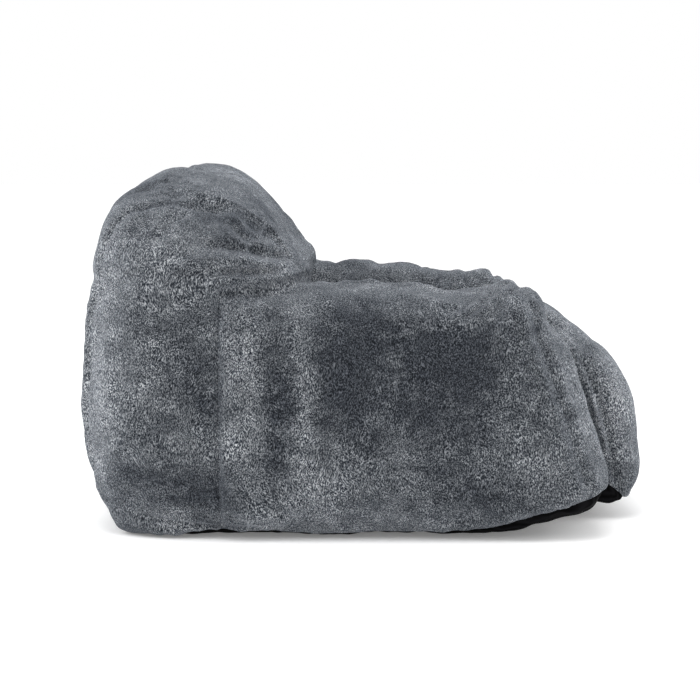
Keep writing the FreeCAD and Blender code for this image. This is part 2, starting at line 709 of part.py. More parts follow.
def build_slider():
    """Two plates, a thin post that runs between the rows of teeth, and a low bridge but no pull."""
    body = zip_body("Slider")
    middle = "(zip_length / 2 - slider_park)"
    along = (f"{middle} - slider_length / 2", f"{middle} + slider_length / 2")
    across = both_ways("slider_half_width")
    over = "(slider_clear - teeth_sink)"
    under = "(-(teeth_sink) - teeth_thick - slider_clear)"
    add_bar(body, "Slider_upper", along, across, (over, f"{over} + slider_wall"))
    fillet(body, "Slider_upper_round", runs_up, "slider_half_width / 2")
    add_bar(body, "Slider_lower", along, across, (f"{under} - slider_wall", under))
    post_x = (f"{middle} - slider_length * 0.12", f"{middle} + slider_length * 0.28")
    post_z = (f"{under} - slider_wall / 2", f"{over} + slider_wall / 2")
    add_bar(body, "Slider_post", post_x, both_ways("slider_post"), post_z)
    bridge_y = both_ways("slider_wall")
    reach, leg = "slider_length * 0.35", "slider_wall * 1.5"
    legs = {"rear": (f"-({reach})", f"{leg} - {reach}"), "front": (f"{reach} - {leg}", reach)}
    for label, (start, end) in legs.items():
        leg_z = (f"{over} + slider_wall / 2", f"{over} + slider_wall * 2.4")
        add_bar(body, f"Slider_leg_{label}", (f"{middle} + {start}", f"{middle} + {end}"), bridge_y, leg_z)
    beam_z = (f"{over} + slider_wall * 2", f"{over} + slider_wall * 2.8")
    add_bar(body, "Slider_beam", (f"{middle} - {reach}", f"{middle} + {reach}"), bridge_y, beam_z)
    return body


# ---------------------------------------------------------------- the whole chair


def build():
    """Builds every sub-part."""
    fill_sheet()
    opening = build_base()
    build_arms(opening)
    build_seat(opening)
    build_backrest(opening)
    build_zip()


def check_and_write():
    """Stops on any failed object or bad shape, then writes one STEP file for each sub-part."""
    document.recompute()
    failed = [item.Name for item in document.Objects if {"Invalid", "Error"} & set(item.State)]
    if failed:
        raise RuntimeError(f"these objects failed: {failed}")
    for node, item in nodes:
        if item.Shape.isNull() or not item.Shape.isValid() or not item.Shape.Solids:
            raise RuntimeError(f"{node} has no valid solid")
    os.makedirs("parts", exist_ok=True)
    for node, item in nodes:
        item.Shape.exportStep(f"parts/{node}.step")
        print(f"{node:28s} {len(item.Shape.Solids)} solid  {item.Shape.Volume / 1000:10.2f} cm3")


build()
check_and_write()
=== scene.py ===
"""Looks of a bean bag chair: plush panels, a black base cloth, a zip, and the bead bags inside."""

import json
import logging
import math
from dataclasses import dataclass
from enum import Enum
from typing import Callable

import bpy
import numpy as np
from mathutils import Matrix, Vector, noise
from mathutils.bvhtree import BVHTree

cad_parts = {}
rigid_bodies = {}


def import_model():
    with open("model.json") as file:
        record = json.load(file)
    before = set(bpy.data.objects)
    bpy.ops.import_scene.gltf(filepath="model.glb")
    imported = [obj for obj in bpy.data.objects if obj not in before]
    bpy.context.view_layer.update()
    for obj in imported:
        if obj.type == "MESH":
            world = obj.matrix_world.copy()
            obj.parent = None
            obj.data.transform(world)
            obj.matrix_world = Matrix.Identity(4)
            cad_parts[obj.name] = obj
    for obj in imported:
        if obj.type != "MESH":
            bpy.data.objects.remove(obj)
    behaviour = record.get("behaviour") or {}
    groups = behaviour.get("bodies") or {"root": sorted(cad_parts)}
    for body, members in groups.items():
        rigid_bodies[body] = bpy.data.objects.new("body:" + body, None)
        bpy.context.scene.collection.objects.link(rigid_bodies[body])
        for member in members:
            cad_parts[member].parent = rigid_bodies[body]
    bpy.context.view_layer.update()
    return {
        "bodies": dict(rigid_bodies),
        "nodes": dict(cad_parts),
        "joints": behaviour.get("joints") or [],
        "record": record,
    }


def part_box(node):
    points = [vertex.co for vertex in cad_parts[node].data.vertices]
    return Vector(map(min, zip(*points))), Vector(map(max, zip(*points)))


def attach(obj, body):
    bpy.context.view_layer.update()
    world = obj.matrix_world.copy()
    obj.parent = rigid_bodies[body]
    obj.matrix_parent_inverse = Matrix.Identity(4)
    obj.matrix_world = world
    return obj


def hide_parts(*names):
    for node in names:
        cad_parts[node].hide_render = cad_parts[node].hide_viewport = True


log = logging.getLogger("bean_bag_chair")

Piece = bpy.types.Object
Material = bpy.types.Material
Nodes = bpy.types.NodeTree
Socket = bpy.types.NodeSocket

CHAIR = "chair"
FLOOR_GAP = 0.0012
MM = 0.001


class Way(Enum):
    """Where a fold lies: the axis that it faces along and to which end, then the two axes of its points."""

    SIDE = (0, 0, 1, 2)
    REAR = (1, 1, 0, 2)
    FRONT = (1, -1, 0, 2)
    TOP = (2, 1, 0, 1)


class Level(Enum):
    """How a fold treats the two halves of the chair."""

    BOTH = "both halves, a little differently"
    ONCE = "only where its points are"


# Mesh helpers


def only(*pieces: Piece) -> None:
    """Selects these pieces and nothing else, and makes the first one active."""
    if bpy.context.object and bpy.context.object.mode != "OBJECT":
        bpy.ops.object.mode_set(mode="OBJECT")
    bpy.ops.object.select_all(action="DESELECT")
    for piece in pieces:
        piece.select_set(True)
    bpy.context.view_layer.objects.active = pieces[0]


def points_of(piece: Piece) -> np.ndarray:
    """The piece's vertices as an array of three columns."""
    flat = np.empty(len(piece.data.vertices) * 3)
    piece.data.vertices.foreach_get("co", flat)
    return flat.reshape(-1, 3)


def place_points(piece: Piece, points: np.ndarray) -> None:
    """Puts the piece's vertices at these points."""
    piece.data.vertices.foreach_set("co", points.astype(np.float32).ravel())
    piece.data.update()


def normals_of(piece: Piece) -> np.ndarray:
    """The piece's vertex normals as an array of three columns."""
    flat = np.empty(len(piece.data.vertices) * 3, np.float32)
    piece.data.vertex_normals.foreach_get("vector", flat)
    return flat.reshape(-1, 3).astype(float)


def edges_of(piece: Piece) -> np.ndarray:
    """The piece's edges as an array of two vertex numbers each."""
    flat = np.empty(len(piece.data.edges) * 2, np.int32)
    piece.data.edges.foreach_get("vertices", flat)
    return flat.reshape(-1, 2)


def relax(values: np.ndarray, edges: np.ndarray, rounds: int, weight: np.ndarray | float) -> np.ndarray:
    """Moves each vertex's values towards the mean of its neighbours.

    Args:
        values: One row of numbers for each vertex, such as its place.
        edges: The mesh's edges.
        rounds: How many times it is done.
        weight: How far each vertex goes each time, from 0 to 1.

    Returns:
        The relaxed values.
    """
    count = len(values)
    degree = np.bincount(edges.ravel(), minlength=count).clip(1)[:, None]
    share = np.broadcast_to(np.asarray(weight, float).reshape(-1, 1), (count, 1))
    for _ in range(rounds):
        total = np.stack(
            [
                np.bincount(edges[:, 0], values[edges[:, 1], k], count)
                + np.bincount(edges[:, 1], values[edges[:, 0], k], count)
                for k in range(values.shape[1])
            ],
            axis=1,
        )
        values = values + share * (total / degree - values)
    return values


def smooth_step(values: np.ndarray, low: float, high: float) -> np.ndarray:
    """0 below low, 1 above high, and an even slope between them."""
    t = np.clip((values - low) / (high - low), 0, 1)
    return t * t * (3 - 2 * t)


def bell(distance: np.ndarray, width: float) -> np.ndarray:
    """1 where the distance is nothing, falling off over the width."""
    return np.exp(-((distance / width) ** 2))


def edit_all(piece: Piece, operator: Callable, **settings: object) -> None:
    """Runs an edit-mode operator on all of the piece's mesh."""
    only(piece)
    bpy.ops.object.mode_set(mode="EDIT")
    bpy.ops.mesh.select_all(action="SELECT")
    operator(**settings)
    bpy.ops.object.mode_set(mode="OBJECT")


def linked(name: str, mesh: bpy.types.Mesh) -> Piece:
    """A new piece in the scene with that mesh."""
    piece = bpy.data.objects.new(name, mesh)
    bpy.context.scene.collection.objects.link(piece)
    return piece


def copy_of(node: Piece, name: str) -> Piece:
    """A copy of a frame node with its loose triangles merged into one mesh, at the origin."""
    piece = linked(name, node.data.copy())
    piece.data.materials.clear()
    edit_all(piece, bpy.ops.mesh.remove_doubles, threshold=0.00002)
    return piece


def settle(piece: Piece, node: str) -> None:
    """Makes the piece ride on the chair in that node's place, and reports it."""
    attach(piece, CHAIR)
    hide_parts(node)
    log.info("%s: %d faces", piece.name, len(piece.data.polygons))


def apply_modifier(piece: Piece, kind: str, **settings: object) -> None:
    """Adds a modifier of that kind with those settings and applies it."""
    only(piece)
    modifier = piece.modifiers.new(kind.lower(), kind)
    for key, value in settings.items():
        setattr(modifier, key, value)
    bpy.ops.object.modifier_apply(modifier=modifier.name)


def swell(piece: Piece, by: float) -> None:
    """Moves the whole surface outwards along its normals."""
    apply_modifier(piece, "DISPLACE", strength=by, mid_level=0.0)


def voxels(piece: Piece, size: float) -> None:
    """Remakes the surface with even faces of that size."""
    apply_modifier(piece, "REMESH", mode="VOXEL", voxel_size=size, use_smooth_shade=True)


def tree_of(piece: Piece) -> BVHTree:
    """A search tree of the piece's faces."""
    faces = [tuple(face.vertices) for face in piece.data.polygons]
    return BVHTree.FromPolygons([v.co.copy() for v in piece.data.vertices], faces)


def grain(points: np.ndarray, size: float, offset: float = 0.0) -> np.ndarray:
    """Smooth noise from about -1 to 1 at each point, with lumps of about that size."""
    shift = Vector((offset, offset * 0.7, -offset))
    return np.array([noise.noise(Vector(p) / size + shift) for p in points])


# Finishes


@dataclass(frozen=True)
class Finish:
    """A finish made of nodes: plain numbers sit on the shader, patterns come from object coordinates."""

    name: str
    roughness: float = 0.8

    def start(self) -> tuple[Material, Nodes, bpy.types.Node, bpy.types.Node]:
        """A new material.

        Returns:
            The material, its node tree, its shader and its coordinate node.
        """
        material = bpy.data.materials.new(self.name)
        material.use_nodes = True
        tree = material.node_tree
        shader = tree.nodes["Principled BSDF"]
        shader.inputs["Roughness"].default_value = self.roughness
        place = tree.nodes.new("ShaderNodeTexCoord")
        return material, tree, shader, place


def node_of(tree: Nodes, kind: str, inputs: dict, **settings: object) -> bpy.types.Node:
    """A new node with its settings, and its inputs linked to a socket or set to a value.

    Args:
        tree: The material's nodes.
        kind: The node's type, without its first word.
        inputs: A socket or a value for each input.
        settings: The node's own settings.

    Returns:
        The node.
    """
    node = tree.nodes.new(f"ShaderNode{kind}")
    for key, value in settings.items():
        setattr(node, key, value)
    for key, value in inputs.items():
        if isinstance(value, Socket):
            tree.links.new(value, node.inputs[key])
        else:
            node.inputs[key].default_value = value
    return node


def noise_node(tree: Nodes, vector: Socket, scale: float, detail: float = 2.0, twist: float = 0.0) -> Socket:
    """A noise pattern on that vector, from 0 to 1.

    Args:
        tree: The material's nodes.
        vector: What the pattern lies on.
        scale: Lumps to a metre.
        detail: How many finer layers it has.
        twist: How far it is distorted.

    Returns:
        The pattern's value.
    """
    inputs = {"Vector": vector, "Scale": scale, "Detail": detail, "Distortion": twist}
    return node_of(tree, "TexNoise", inputs).outputs["Fac"]


def stretched(tree: Nodes, vector: Socket, scale: tuple) -> Socket:
    """The vector scaled by a different amount along each axis."""
    return node_of(tree, "Mapping", {"Vector": vector, "Scale": scale}).outputs["Vector"]


def ramp(tree: Nodes, value: Socket, stops: list) -> Socket:
    """A colour ramp.

    Args:
        tree: The material's nodes.
        value: What goes in.
        stops: Pairs of a place and a colour.

    Returns:
        The colour that comes out.
    """
    node = tree.nodes.new("ShaderNodeValToRGB")
    band = node.color_ramp
    while len(band.elements) < len(stops):
        band.elements.new(0.5)
    for element, (place, colour) in zip(band.elements, stops):
        element.position = place
        element.color = (*colour, 1.0)
    tree.links.new(value, node.inputs["Fac"])
    return node.outputs["Color"]


def multiplied(tree: Nodes, first: Socket, second: Socket) -> Socket:
    """Two colours multiplied."""
    node = node_of(tree, "Mix", {0: 1.0, 6: first, 7: second}, data_type="RGBA", blend_type="MULTIPLY")
    return node.outputs[2]


def calculated(tree: Nodes, how: str, first: Socket | float, second: Socket | float) -> Socket:
    """A sum on two values, each a socket or a number."""
    return node_of(tree, "Math", {0: first, 1: second}, operation=how).outputs[0]


def summed(tree: Nodes, *layers: tuple[Socket, float]) -> Socket:
    """The layers added up, each by its share."""
    total = None
    for layer, share in layers:
        part = calculated(tree, "MULTIPLY", layer, share)
        total = part if total is None else calculated(tree, "ADD", total, part)
    return total


def bumped(tree: Nodes, shader: bpy.types.Node, height: Socket, depth: float, strength: float) -> None:
    """Raises the surface's grain by that height pattern."""
    node = node_of(tree, "Bump", {"Height": height, "Distance": depth, "Strength": strength})
    tree.links.new(node.outputs["Normal"], shader.inputs["Normal"])


@dataclass(frozen=True)
class PilePatchAndPaintedLight:
    """A placed patch of tone on the pile, partly pile lying another way and partly painted light: painted
    shade where it darkens and painted highlight where it pales. Its middle and size in depth and height, and
    how much paler it is.
    """

    middle: tuple
    size: tuple
    paler: float


# Placed patches, partly painted light: the darker ones paint shade into the dome's hollow, the valley at the
# seam between arm and back and the middle of the flank; the paler ones paint highlights beside that valley,
# at the rear edge and on the seat's front bulge.
PILE_PATCHES_AND_PAINTED_LIGHT = (
    PilePatchAndPaintedLight((0.270, 0.520), (0.120, 0.075), -0.20),
    PilePatchAndPaintedLight((0.195, 0.525), (0.060, 0.055), -0.32),
    PilePatchAndPaintedLight((0.150, 0.240), (0.036, 0.180), -0.44),
    PilePatchAndPaintedLight((-0.070, 0.265), (0.215, 0.175), -0.50),
    PilePatchAndPaintedLight((0.325, 0.095), (0.120, 0.065), -0.44),
    PilePatchAndPaintedLight((0.300, 0.230), (0.090, 0.080), -0.12),
    PilePatchAndPaintedLight((0.010, 0.110), (0.060, 0.080), -0.12),
    PilePatchAndPaintedLight((-0.120, 0.070), (0.170, 0.060), -0.30),
    PilePatchAndPaintedLight((0.215, 0.250), (0.038, 0.150), 0.20),
    PilePatchAndPaintedLight((0.098, 0.230), (0.026, 0.160), 0.22),
    PilePatchAndPaintedLight((0.450, 0.300), (0.050, 0.220), 0.28),
    PilePatchAndPaintedLight((-0.270, 0.170), (0.110, 0.090), 0.12),
    PilePatchAndPaintedLight((-0.460, 0.220), (0.070, 0.160), 0.34),
    PilePatchAndPaintedLight((0.140, 0.560), (0.050, 0.080), 0.14),
)


@dataclass(frozen=True)
class Plush(Finish):
    """Short pile, dark blue-grey at the root and pale at the tips, lying in patches each way, with painted
    shade and painted highlights placed on it.
    """

    root: tuple = (0.005, 0.008, 0.014)
    middle: tuple = (0.103, 0.115, 0.134)
    tip: tuple = (0.72, 0.74, 0.765)
    # How the tone darkens or lightens the pile, from pile lying flat to pile standing; the placed patches'
    # painted shade and painted highlights come through these too.
    laid_pile_and_painted_shade: tuple = (0.17, 0.18, 0.20)
    even: tuple = (0.55, 0.56, 0.57)
    raised_pile_and_painted_highlight: tuple = (1.0, 1.0, 1.0)
    fibre: tuple = (720.0, 720.0, 300.0)
    fine_fibre: tuple = (1250.0, 1250.0, 600.0)
    tuft: float = 320.0
    patch: float = 5.5
    swirl: float = 0.06

    def material(self) -> Material:
        """The plush material."""
        material, tree, shader, place = self.start()
        spot = place.outputs["Object"]
        wavy = self.swirled(tree, spot)
        strands = noise_node(tree, stretched(tree, wavy, self.fibre), 1.0, 2.0, 0.3)
        fine = noise_node(tree, stretched(tree, wavy, self.fine_fibre), 1.0, 1.0)
        tufts = noise_node(tree, wavy, self.tuft, 3.0, 0.2)
        fibre = summed(tree, (strands, 0.56), (fine, 0.24), (tufts, 0.20))
        pile = ramp(tree, fibre, [(0.41, self.root), (0.50, self.middle), (0.60, self.tip)])
        # The tone holds the painted shade and painted highlights of the placed patches.
        tone = self.pile_tone_and_painted_light(tree, spot)
        shade = ramp(tree, tone, [(0.02, self.laid_pile_and_painted_shade), (0.50, self.even), (0.85, self.raised_pile_and_painted_highlight)])
        tree.links.new(multiplied(tree, pile, shade), shader.inputs["Base Color"])
        shader.inputs["Sheen Weight"].default_value = 0.26
        shader.inputs["Sheen Roughness"].default_value = 0.40
        shader.inputs["Sheen Tint"].default_value = (0.80, 0.88, 1.0, 1.0)
        shader.inputs["Specular IOR Level"].default_value = 0.10
        bumped(tree, shader, fibre, 0.007, 0.85)
        return material

    def swirled(self, tree: Nodes, spot: Socket) -> Socket:
        """The coordinates with slow swirls in them, so that the pile doesn't all lie one way."""
        drift = node_of(tree, "TexNoise", {"Vector": spot, "Scale": 9.0, "Detail": 2.0}).outputs["Color"]
        reach = (self.swirl, self.swirl, self.swirl)
        inputs = {0: drift, 1: reach, 2: spot}
        return node_of(tree, "VectorMath", inputs, operation="MULTIPLY_ADD").outputs["Vector"]

    def pile_tone_and_painted_light(self, tree: Nodes, spot: Socket) -> Socket:
        """How pale the pile is: slow patches, streaks and a fine mottle that vary at random, and the placed
        patches, which paint shade and highlights.
        """
        slow = noise_node(tree, spot, self.patch, 3.0, 0.5)
        streaks = noise_node(tree, stretched(tree, spot, (14.0, 14.0, 34.0)), 1.0, 3.0, 0.8)
        mottle = noise_node(tree, spot, 55.0, 2.0, 0.6)
        tone = calculated(tree, "SUBTRACT", summed(tree, (slow, 1.30), (streaks, 1.0), (mottle, 0.7)), 1.00)
        # Each placed patch adds its painted shade (below nothing) or painted highlight (above nothing) to the
        # tone.
        for patch in PILE_PATCHES_AND_PAINTED_LIGHT:
            across, up = patch.size
            ends = {
                0: stretched(tree, spot, (0.0, 1.0 / across, 1.0 / up)),
                1: (0.0, patch.middle[0] / across, patch.middle[1] / up),
            }
            away = node_of(tree, "VectorMath", ends, operation="DISTANCE").outputs["Value"]
            fade = {"Value": away, "From Min": 0.15, "From Max": 1.25, "To Min": patch.paler, "To Max": 0.0}
            paler = node_of(tree, "MapRange", fade, interpolation_type="SMOOTHSTEP").outputs["Result"]
            tone = calculated(tree, "ADD", tone, paler)
        return tone


@dataclass(frozen=True)
class WovenCloth(Finish):
    """Plain woven cloth: threads both ways, a little uneven."""

    dark: tuple = (0.006, 0.006, 0.007)
    light: tuple = (0.018, 0.018, 0.020)
    threads: float = 900.0
    gloss: float = 0.25

    def material(self) -> Material:
        """The woven material."""
        material, tree, shader, place = self.start()
        spot = place.outputs["Object"]
        lines = []
        for axis in ((1.0, 0.0, 0.3), (0.0, 1.0, 0.7)):
            thread = {"Vector": stretched(tree, spot, axis), "Scale": self.threads / 20.0, "Distortion": 0.6}
            lines.append(node_of(tree, "TexWave", thread | {"Detail Scale": 3.0}).outputs["Fac"])
        weave = calculated(tree, "MAXIMUM", *lines)
        cloud = noise_node(tree, spot, 22.0, 3.0)
        tone = summed(tree, (weave, 0.5), (cloud, 0.5))
        tree.links.new(ramp(tree, tone, [(0.3, self.dark), (0.8, self.light)]), shader.inputs["Base Color"])
        shader.inputs["Specular IOR Level"].default_value = self.gloss
        bumped(tree, shader, weave, 0.0004, 0.6)
        return material


@dataclass(frozen=True)
class BeadFill(Finish):
    """White foam beads packed together, with painted shade in the gaps between them."""

    beads: float = 260.0
    bead: tuple = (0.86, 0.86, 0.85)
    # The colour at the edges between beads is painted shade in the gaps.
    between: tuple = (0.48, 0.48, 0.47)

    def material(self) -> Material:
        """The bead material."""
        material, tree, shader, place = self.start()
        spot = place.outputs["Object"]
        gap = node_of(tree, "TexVoronoi", {"Vector": spot, "Scale": self.beads}).outputs["Distance"]
        colour = ramp(tree, gap, [(0.2, self.bead), (0.75, self.between)])
        tree.links.new(colour, shader.inputs["Base Color"])
        bumped(tree, shader, calculated(tree, "SUBTRACT", 1.0, gap), 0.002, 0.8)
        return material


@dataclass(frozen=True)
class Metal(Finish):
    """Plated metal with fine scratches."""

    colour: tuple = (0.32, 0.32, 0.34)

    def material(self) -> Material:
        """The metal material."""
        material, tree, shader, place = self.start()
        along = stretched(tree, place.outputs["Object"], (400.0, 3000.0, 3000.0))
        scratches = noise_node(tree, along, 1.0, 3.0)
        dark = tuple(c * 0.7 for c in self.colour)
        colour = ramp(tree, scratches, [(0.35, dark), (0.65, self.colour)])
        tree.links.new(colour, shader.inputs["Base Color"])
        shader.inputs["Metallic"].default_value = 1.0
        bumped(tree, shader, scratches, 0.0001, 0.4)
        return material


# Folds


@dataclass(frozen=True)
class Fold:
    """One listed fold: a line on the cover that stands proud of it or sinks into it, in millimetres.

    The line's points are depth and height on a side, width and height at the rear or front, and width and
    depth on top.
    """

    way: Way
    line: tuple
    width: float
    rise: float
    level: Level = Level.BOTH

    def reach(self, points: np.ndarray, shift: float) -> np.ndarray:
        """How strongly each point feels the fold, from 0 to 1.

        Args:
            points: Places in the two axes of the fold's line.
            shift: How far the line is moved along its first axis.

        Returns:
            One number for each point.
        """
        ends = np.array(self.line, float) * MM + np.array([shift, -0.4 * shift])
        best = np.full(len(points), 9.0)
        along_best = np.zeros(len(points))
        lengths = np.linalg.norm(np.diff(ends, axis=0), axis=1)
        total, run = lengths.sum(), 0.0
        for start, stop, length in zip(ends[:-1], ends[1:], lengths):
            way = (stop - start) / max(length, 1e-6)
            t = np.clip((points - start) @ way, 0, length)
            gap = np.linalg.norm(points - start - t[:, None] * way, axis=1)
            nearer = gap < best
            best = np.where(nearer, gap, best)
            along_best = np.where(nearer, run + t, along_best)
            run += length
        taper = 0.35 + 0.65 * np.sin(np.pi * np.clip(along_best / max(total, 1e-6), 0, 1)) ** 0.7
        return bell(best, self.width * MM) * taper

    def lift(self, points: np.ndarray, normals: np.ndarray) -> np.ndarray:
        """How far the fold moves each point along its normal.

        Args:
            points: The cover's points.
            normals: Their normals.

        Returns:
            One length for each point.
        """
        axis, end, first, second = self.way.value
        flat, rise = points[:, [first, second]], self.rise * MM
        if self.way is Way.SIDE:
            total = np.zeros(len(points))
            for side in (-1.0, 1.0):
                faces = smooth_step(normals[:, 0] * side, 0.05, 0.45) * (points[:, 0] * side > 0.16)
                shift, share = (0.0, 1.0) if side < 0 else (0.009, 0.85)
                total += rise * share * faces * self.reach(flat, shift)
            return total
        faces = smooth_step(end * normals[:, axis], 0.05, 0.45)
        total = rise * faces * self.reach(flat, 0.0)
        if self.level is Level.BOTH:
            total += 0.8 * rise * faces * self.reach(flat * np.array([-1.0, 1.0]), 0.007)
        return total


def side(line: tuple, width: float, rise: float) -> Fold:
    """A fold on the chair's two sides."""
    return Fold(Way.SIDE, line, width, rise)


CROWN_FOLDS = (
    side(((345, 606), (304, 611), (225, 588)), 13, 8.1),
    side(((366, 598), (306, 601), (251, 586)), 7, -7.3),
    side(((400, 575), (352, 589), (311, 592), (282, 585), (239, 577)), 12, 8.8),
    side(((324, 612), (323, 594)), 7, -4),
    side(((380, 566), (320, 578), (260, 569)), 11, -5.6),
    side(((345, 505), (329, 533), (295, 556), (268, 570)), 10, -8.8),
    side(((345, 520), (320, 548), (285, 568)), 11, 4.8),
    side(((259, 566), (252, 558), (214, 532), (170, 490)), 10, -10.5),
    side(((250, 572), (225, 552), (190, 522)), 12, 6.5),
    side(((295, 530), (233, 524)), 61, -10.5),
    side(((142, 532), (161, 520), (195, 517)), 7, -4.8),
    side(((123, 503), (147, 493), (181, 488)), 7, -4.8),
    side(((152, 552), (172, 541), (200, 540)), 7, -4),
    side(((112, 479), (142, 476), (176, 474)), 7, -4),
)

PINCH_FOLDS = (
    side(((310, 458), (265, 469), (199, 468), (142, 458), (94, 447)), 11, 12.4),
    side(((235, 450), (190, 450), (123, 450)), 7, -12.4),
    side(((199, 466), (133, 445), (94, 447)), 6, 4.1),
    side(((255, 428), (224, 435), (174, 436), (133, 439), (86, 442)), 11, 11.6),
    side(((246, 411), (170, 414), (94, 420)), 11, -6.7),
    side(((266, 493), (189, 491), (125, 472)), 9, -8.3),
    side(((240, 515), (180, 505), (130, 490)), 9, 4.9),
    side(((120, 452), (92, 444), (70, 441)), 11, -9.9),
)

ARM_FOLDS = (
    side(((-124, 401), (-142, 407), (-160, 413)), 8, 5),
    side(((-137, 394), (-170, 407), (-191, 421)), 6, -5),
    side(((-151, 393), (-184, 408), (-215, 421)), 8, 6),
    side(((-161, 386), (-194, 401), (-223, 419)), 6, -5),
    side(((-173, 386), (-203, 402), (-232, 417)), 8, 6),
    side(((149, 300), (147, 213), (143, 53)), 17, -6),
    side(((197, 383), (200, 81)), 28, 6),
    side(((92, 401), (93, 72)), 30, 6),
    side(((-20, 288), (-170, 279)), 75, -12),
    side(((-298, 354), (-299, 321)), 22, -8),
    side(((-333, 143), (-331, 130)), 14, -5),
    side(((-217, 362), (-211, 347)), 15, -5),
    side(((103, 55), (99, 21)), 5, -5),
    side(((-57, 109), (-199, 126)), 20, -4),
    side(((-236, 241), (-302, 204)), 22, -4),
    side(((320, 288), (348, 175), (353, 90)), 40, 4),
    side(((273, 401), (320, 383), (404, 392)), 20, -5),
    side(((263, 345), (329, 317), (414, 331)), 18, -3),
    side(((371, 41), (308, 26), (248, 22), (184, 20)), 4, -6),
)

ROLL_FOLDS = (
    side(((-360, 308), (-382, 230), (-402, 163), (-427, 89)), 7, -10),
    side(((-374, 296), (-399, 238), (-418, 187), (-430, 128), (-437, 59)), 6, -9),
    side(((-367, 303), (-391, 234), (-411, 175), (-430, 109)), 7, 7),
    Fold(Way.FRONT, ((350, 395), (356, 254), (362, 94)), 13, -9),
    Fold(Way.FRONT, ((290, 376), (300, 235), (310, 103)), 11, -6),
    Fold(Way.FRONT, ((400, 338), (408, 216), (410, 103)), 10, -4),
    Fold(Way.FRONT, ((-150, 310), (-20, 321), (120, 305)), 16, -5, Level.ONCE),
    Fold(Way.FRONT, ((-170, 85), (-60, 98), (80, 88), (180, 103)), 14, -5, Level.ONCE),
    Fold(Way.FRONT, ((60, 226), (150, 202), (200, 211)), 18, -5, Level.ONCE),
    Fold(Way.FRONT, ((-190, 188), (-120, 174), (-50, 188)), 18, -4, Level.ONCE),
)

BACK_FOLDS = (
    Fold(Way.REAR, ((-330, 434), (-120, 423), (140, 429), (330, 421)), 13, -7, Level.ONCE),
    Fold(Way.REAR, ((-300, 399), (-90, 387), (80, 393)), 16, -4, Level.ONCE),
    Fold(Way.REAR, ((90, 526), (150, 470), (240, 442)), 16, -5, Level.ONCE),
    Fold(Way.REAR, ((-260, 540), (-190, 489), (-160, 440)), 15, -5, Level.ONCE),
    Fold(Way.REAR, ((-30, 235), (130, 218), (270, 235)), 30, -6, Level.ONCE),
    Fold(Way.REAR, ((-290, 188), (-190, 169), (-110, 179)), 26, -5, Level.ONCE),
    Fold(Way.REAR, ((30, 75), (36, 99), (30, 141)), 9, -5),
    Fold(Way.REAR, ((105, 75), (110, 99), (120, 132)), 8, -4),
    Fold(Way.REAR, ((180, 75), (186, 103), (180, 150)), 10, -5),
    Fold(Way.REAR, ((255, 75), (262, 103), (275, 136)), 9, -5),
    Fold(Way.FRONT, ((-180, 442), (-60, 432), (80, 444), (190, 434)), 15, -6, Level.ONCE),
    Fold(Way.FRONT, ((-140, 508), (20, 519), (160, 503)), 20, -5, Level.ONCE),
    Fold(Way.FRONT, ((230, 451), (180, 470), (140, 498)), 12, -5),
    Fold(Way.FRONT, ((300, 470), (270, 508), (255, 555)), 12, -5),
)

TOP_FOLDS = (
    Fold(Way.TOP, ((10, 180), (20, 250), (15, 330)), 14, -4, Level.ONCE),
    Fold(Way.TOP, ((180, 160), (195, 240), (190, 320)), 14, -5),
    Fold(Way.TOP, ((-100, 220), (-90, 300), (-98, 360)), 12, -4, Level.ONCE),
    Fold(Way.TOP, ((280, 60), (340, 50), (400, 66)), 13, -6),
    Fold(Way.TOP, ((290, -30), (350, -42), (400, -30)), 13, -5),
    Fold(Way.TOP, ((280, -110), (330, -120), (390, -104)), 11, -5),
    Fold(Way.TOP, ((290, -200), (345, -214), (405, -200)), 12, -6),
    Fold(Way.TOP, ((280, -262), (345, -276), (400, -262)), 11, -6),
    Fold(Way.TOP, ((-120, 20), (-50, -20), (40, -10), (120, 30)), 30, -10, Level.ONCE),
    Fold(Way.TOP, ((200, 60), (140, 20), (110, -40)), 14, -6),
    Fold(Way.TOP, ((210, -80), (150, -110), (120, -160)), 14, -5),
    Fold(Way.TOP, ((-100, -210), (10, -200), (110, -215)), 20, -5, Level.ONCE),
)


# The stuffed skin and its panels


class Region(Enum):
    """The part of the skin that an easing keeps to."""

    DOME_FRONT = "the dome's front and brow"
    ARMS = "both arms"
    SEAT = "between the arms"
    ALL = "everywhere"


@dataclass(frozen=True)
class Easing:
    """A round place where the skin is let in or out, its middle in depth and height, in millimetres."""

    region: Region
    middle: tuple
    radius: float
    rise: float


EASINGS = (
    Easing(Region.DOME_FRONT, (158, 545), 72, -24),
    Easing(Region.DOME_FRONT, (85, 505), 55, -14),
    Easing(Region.ALL, (370, 605), 50, 6),
    Easing(Region.ARMS, (-335, 378), 42, -24),
    Easing(Region.SEAT, (-470, 75), 50, 12),
    Easing(Region.SEAT, (-390, 328), 70, -16),
)


@dataclass(frozen=True)
class Gusset:
    """A block of stuffing that bridges the groove behind an arm, in metres."""

    width: float
    depth: float
    low: float
    high: float
    top_in: float
    shift: float


GUSSETS = (
    Gusset(0.423, 0.034, 0.030, 0.404, 0.016, 0.010),
    Gusset(0.398, 0.052, 0.376, 0.490, 0.020, -0.040),
)


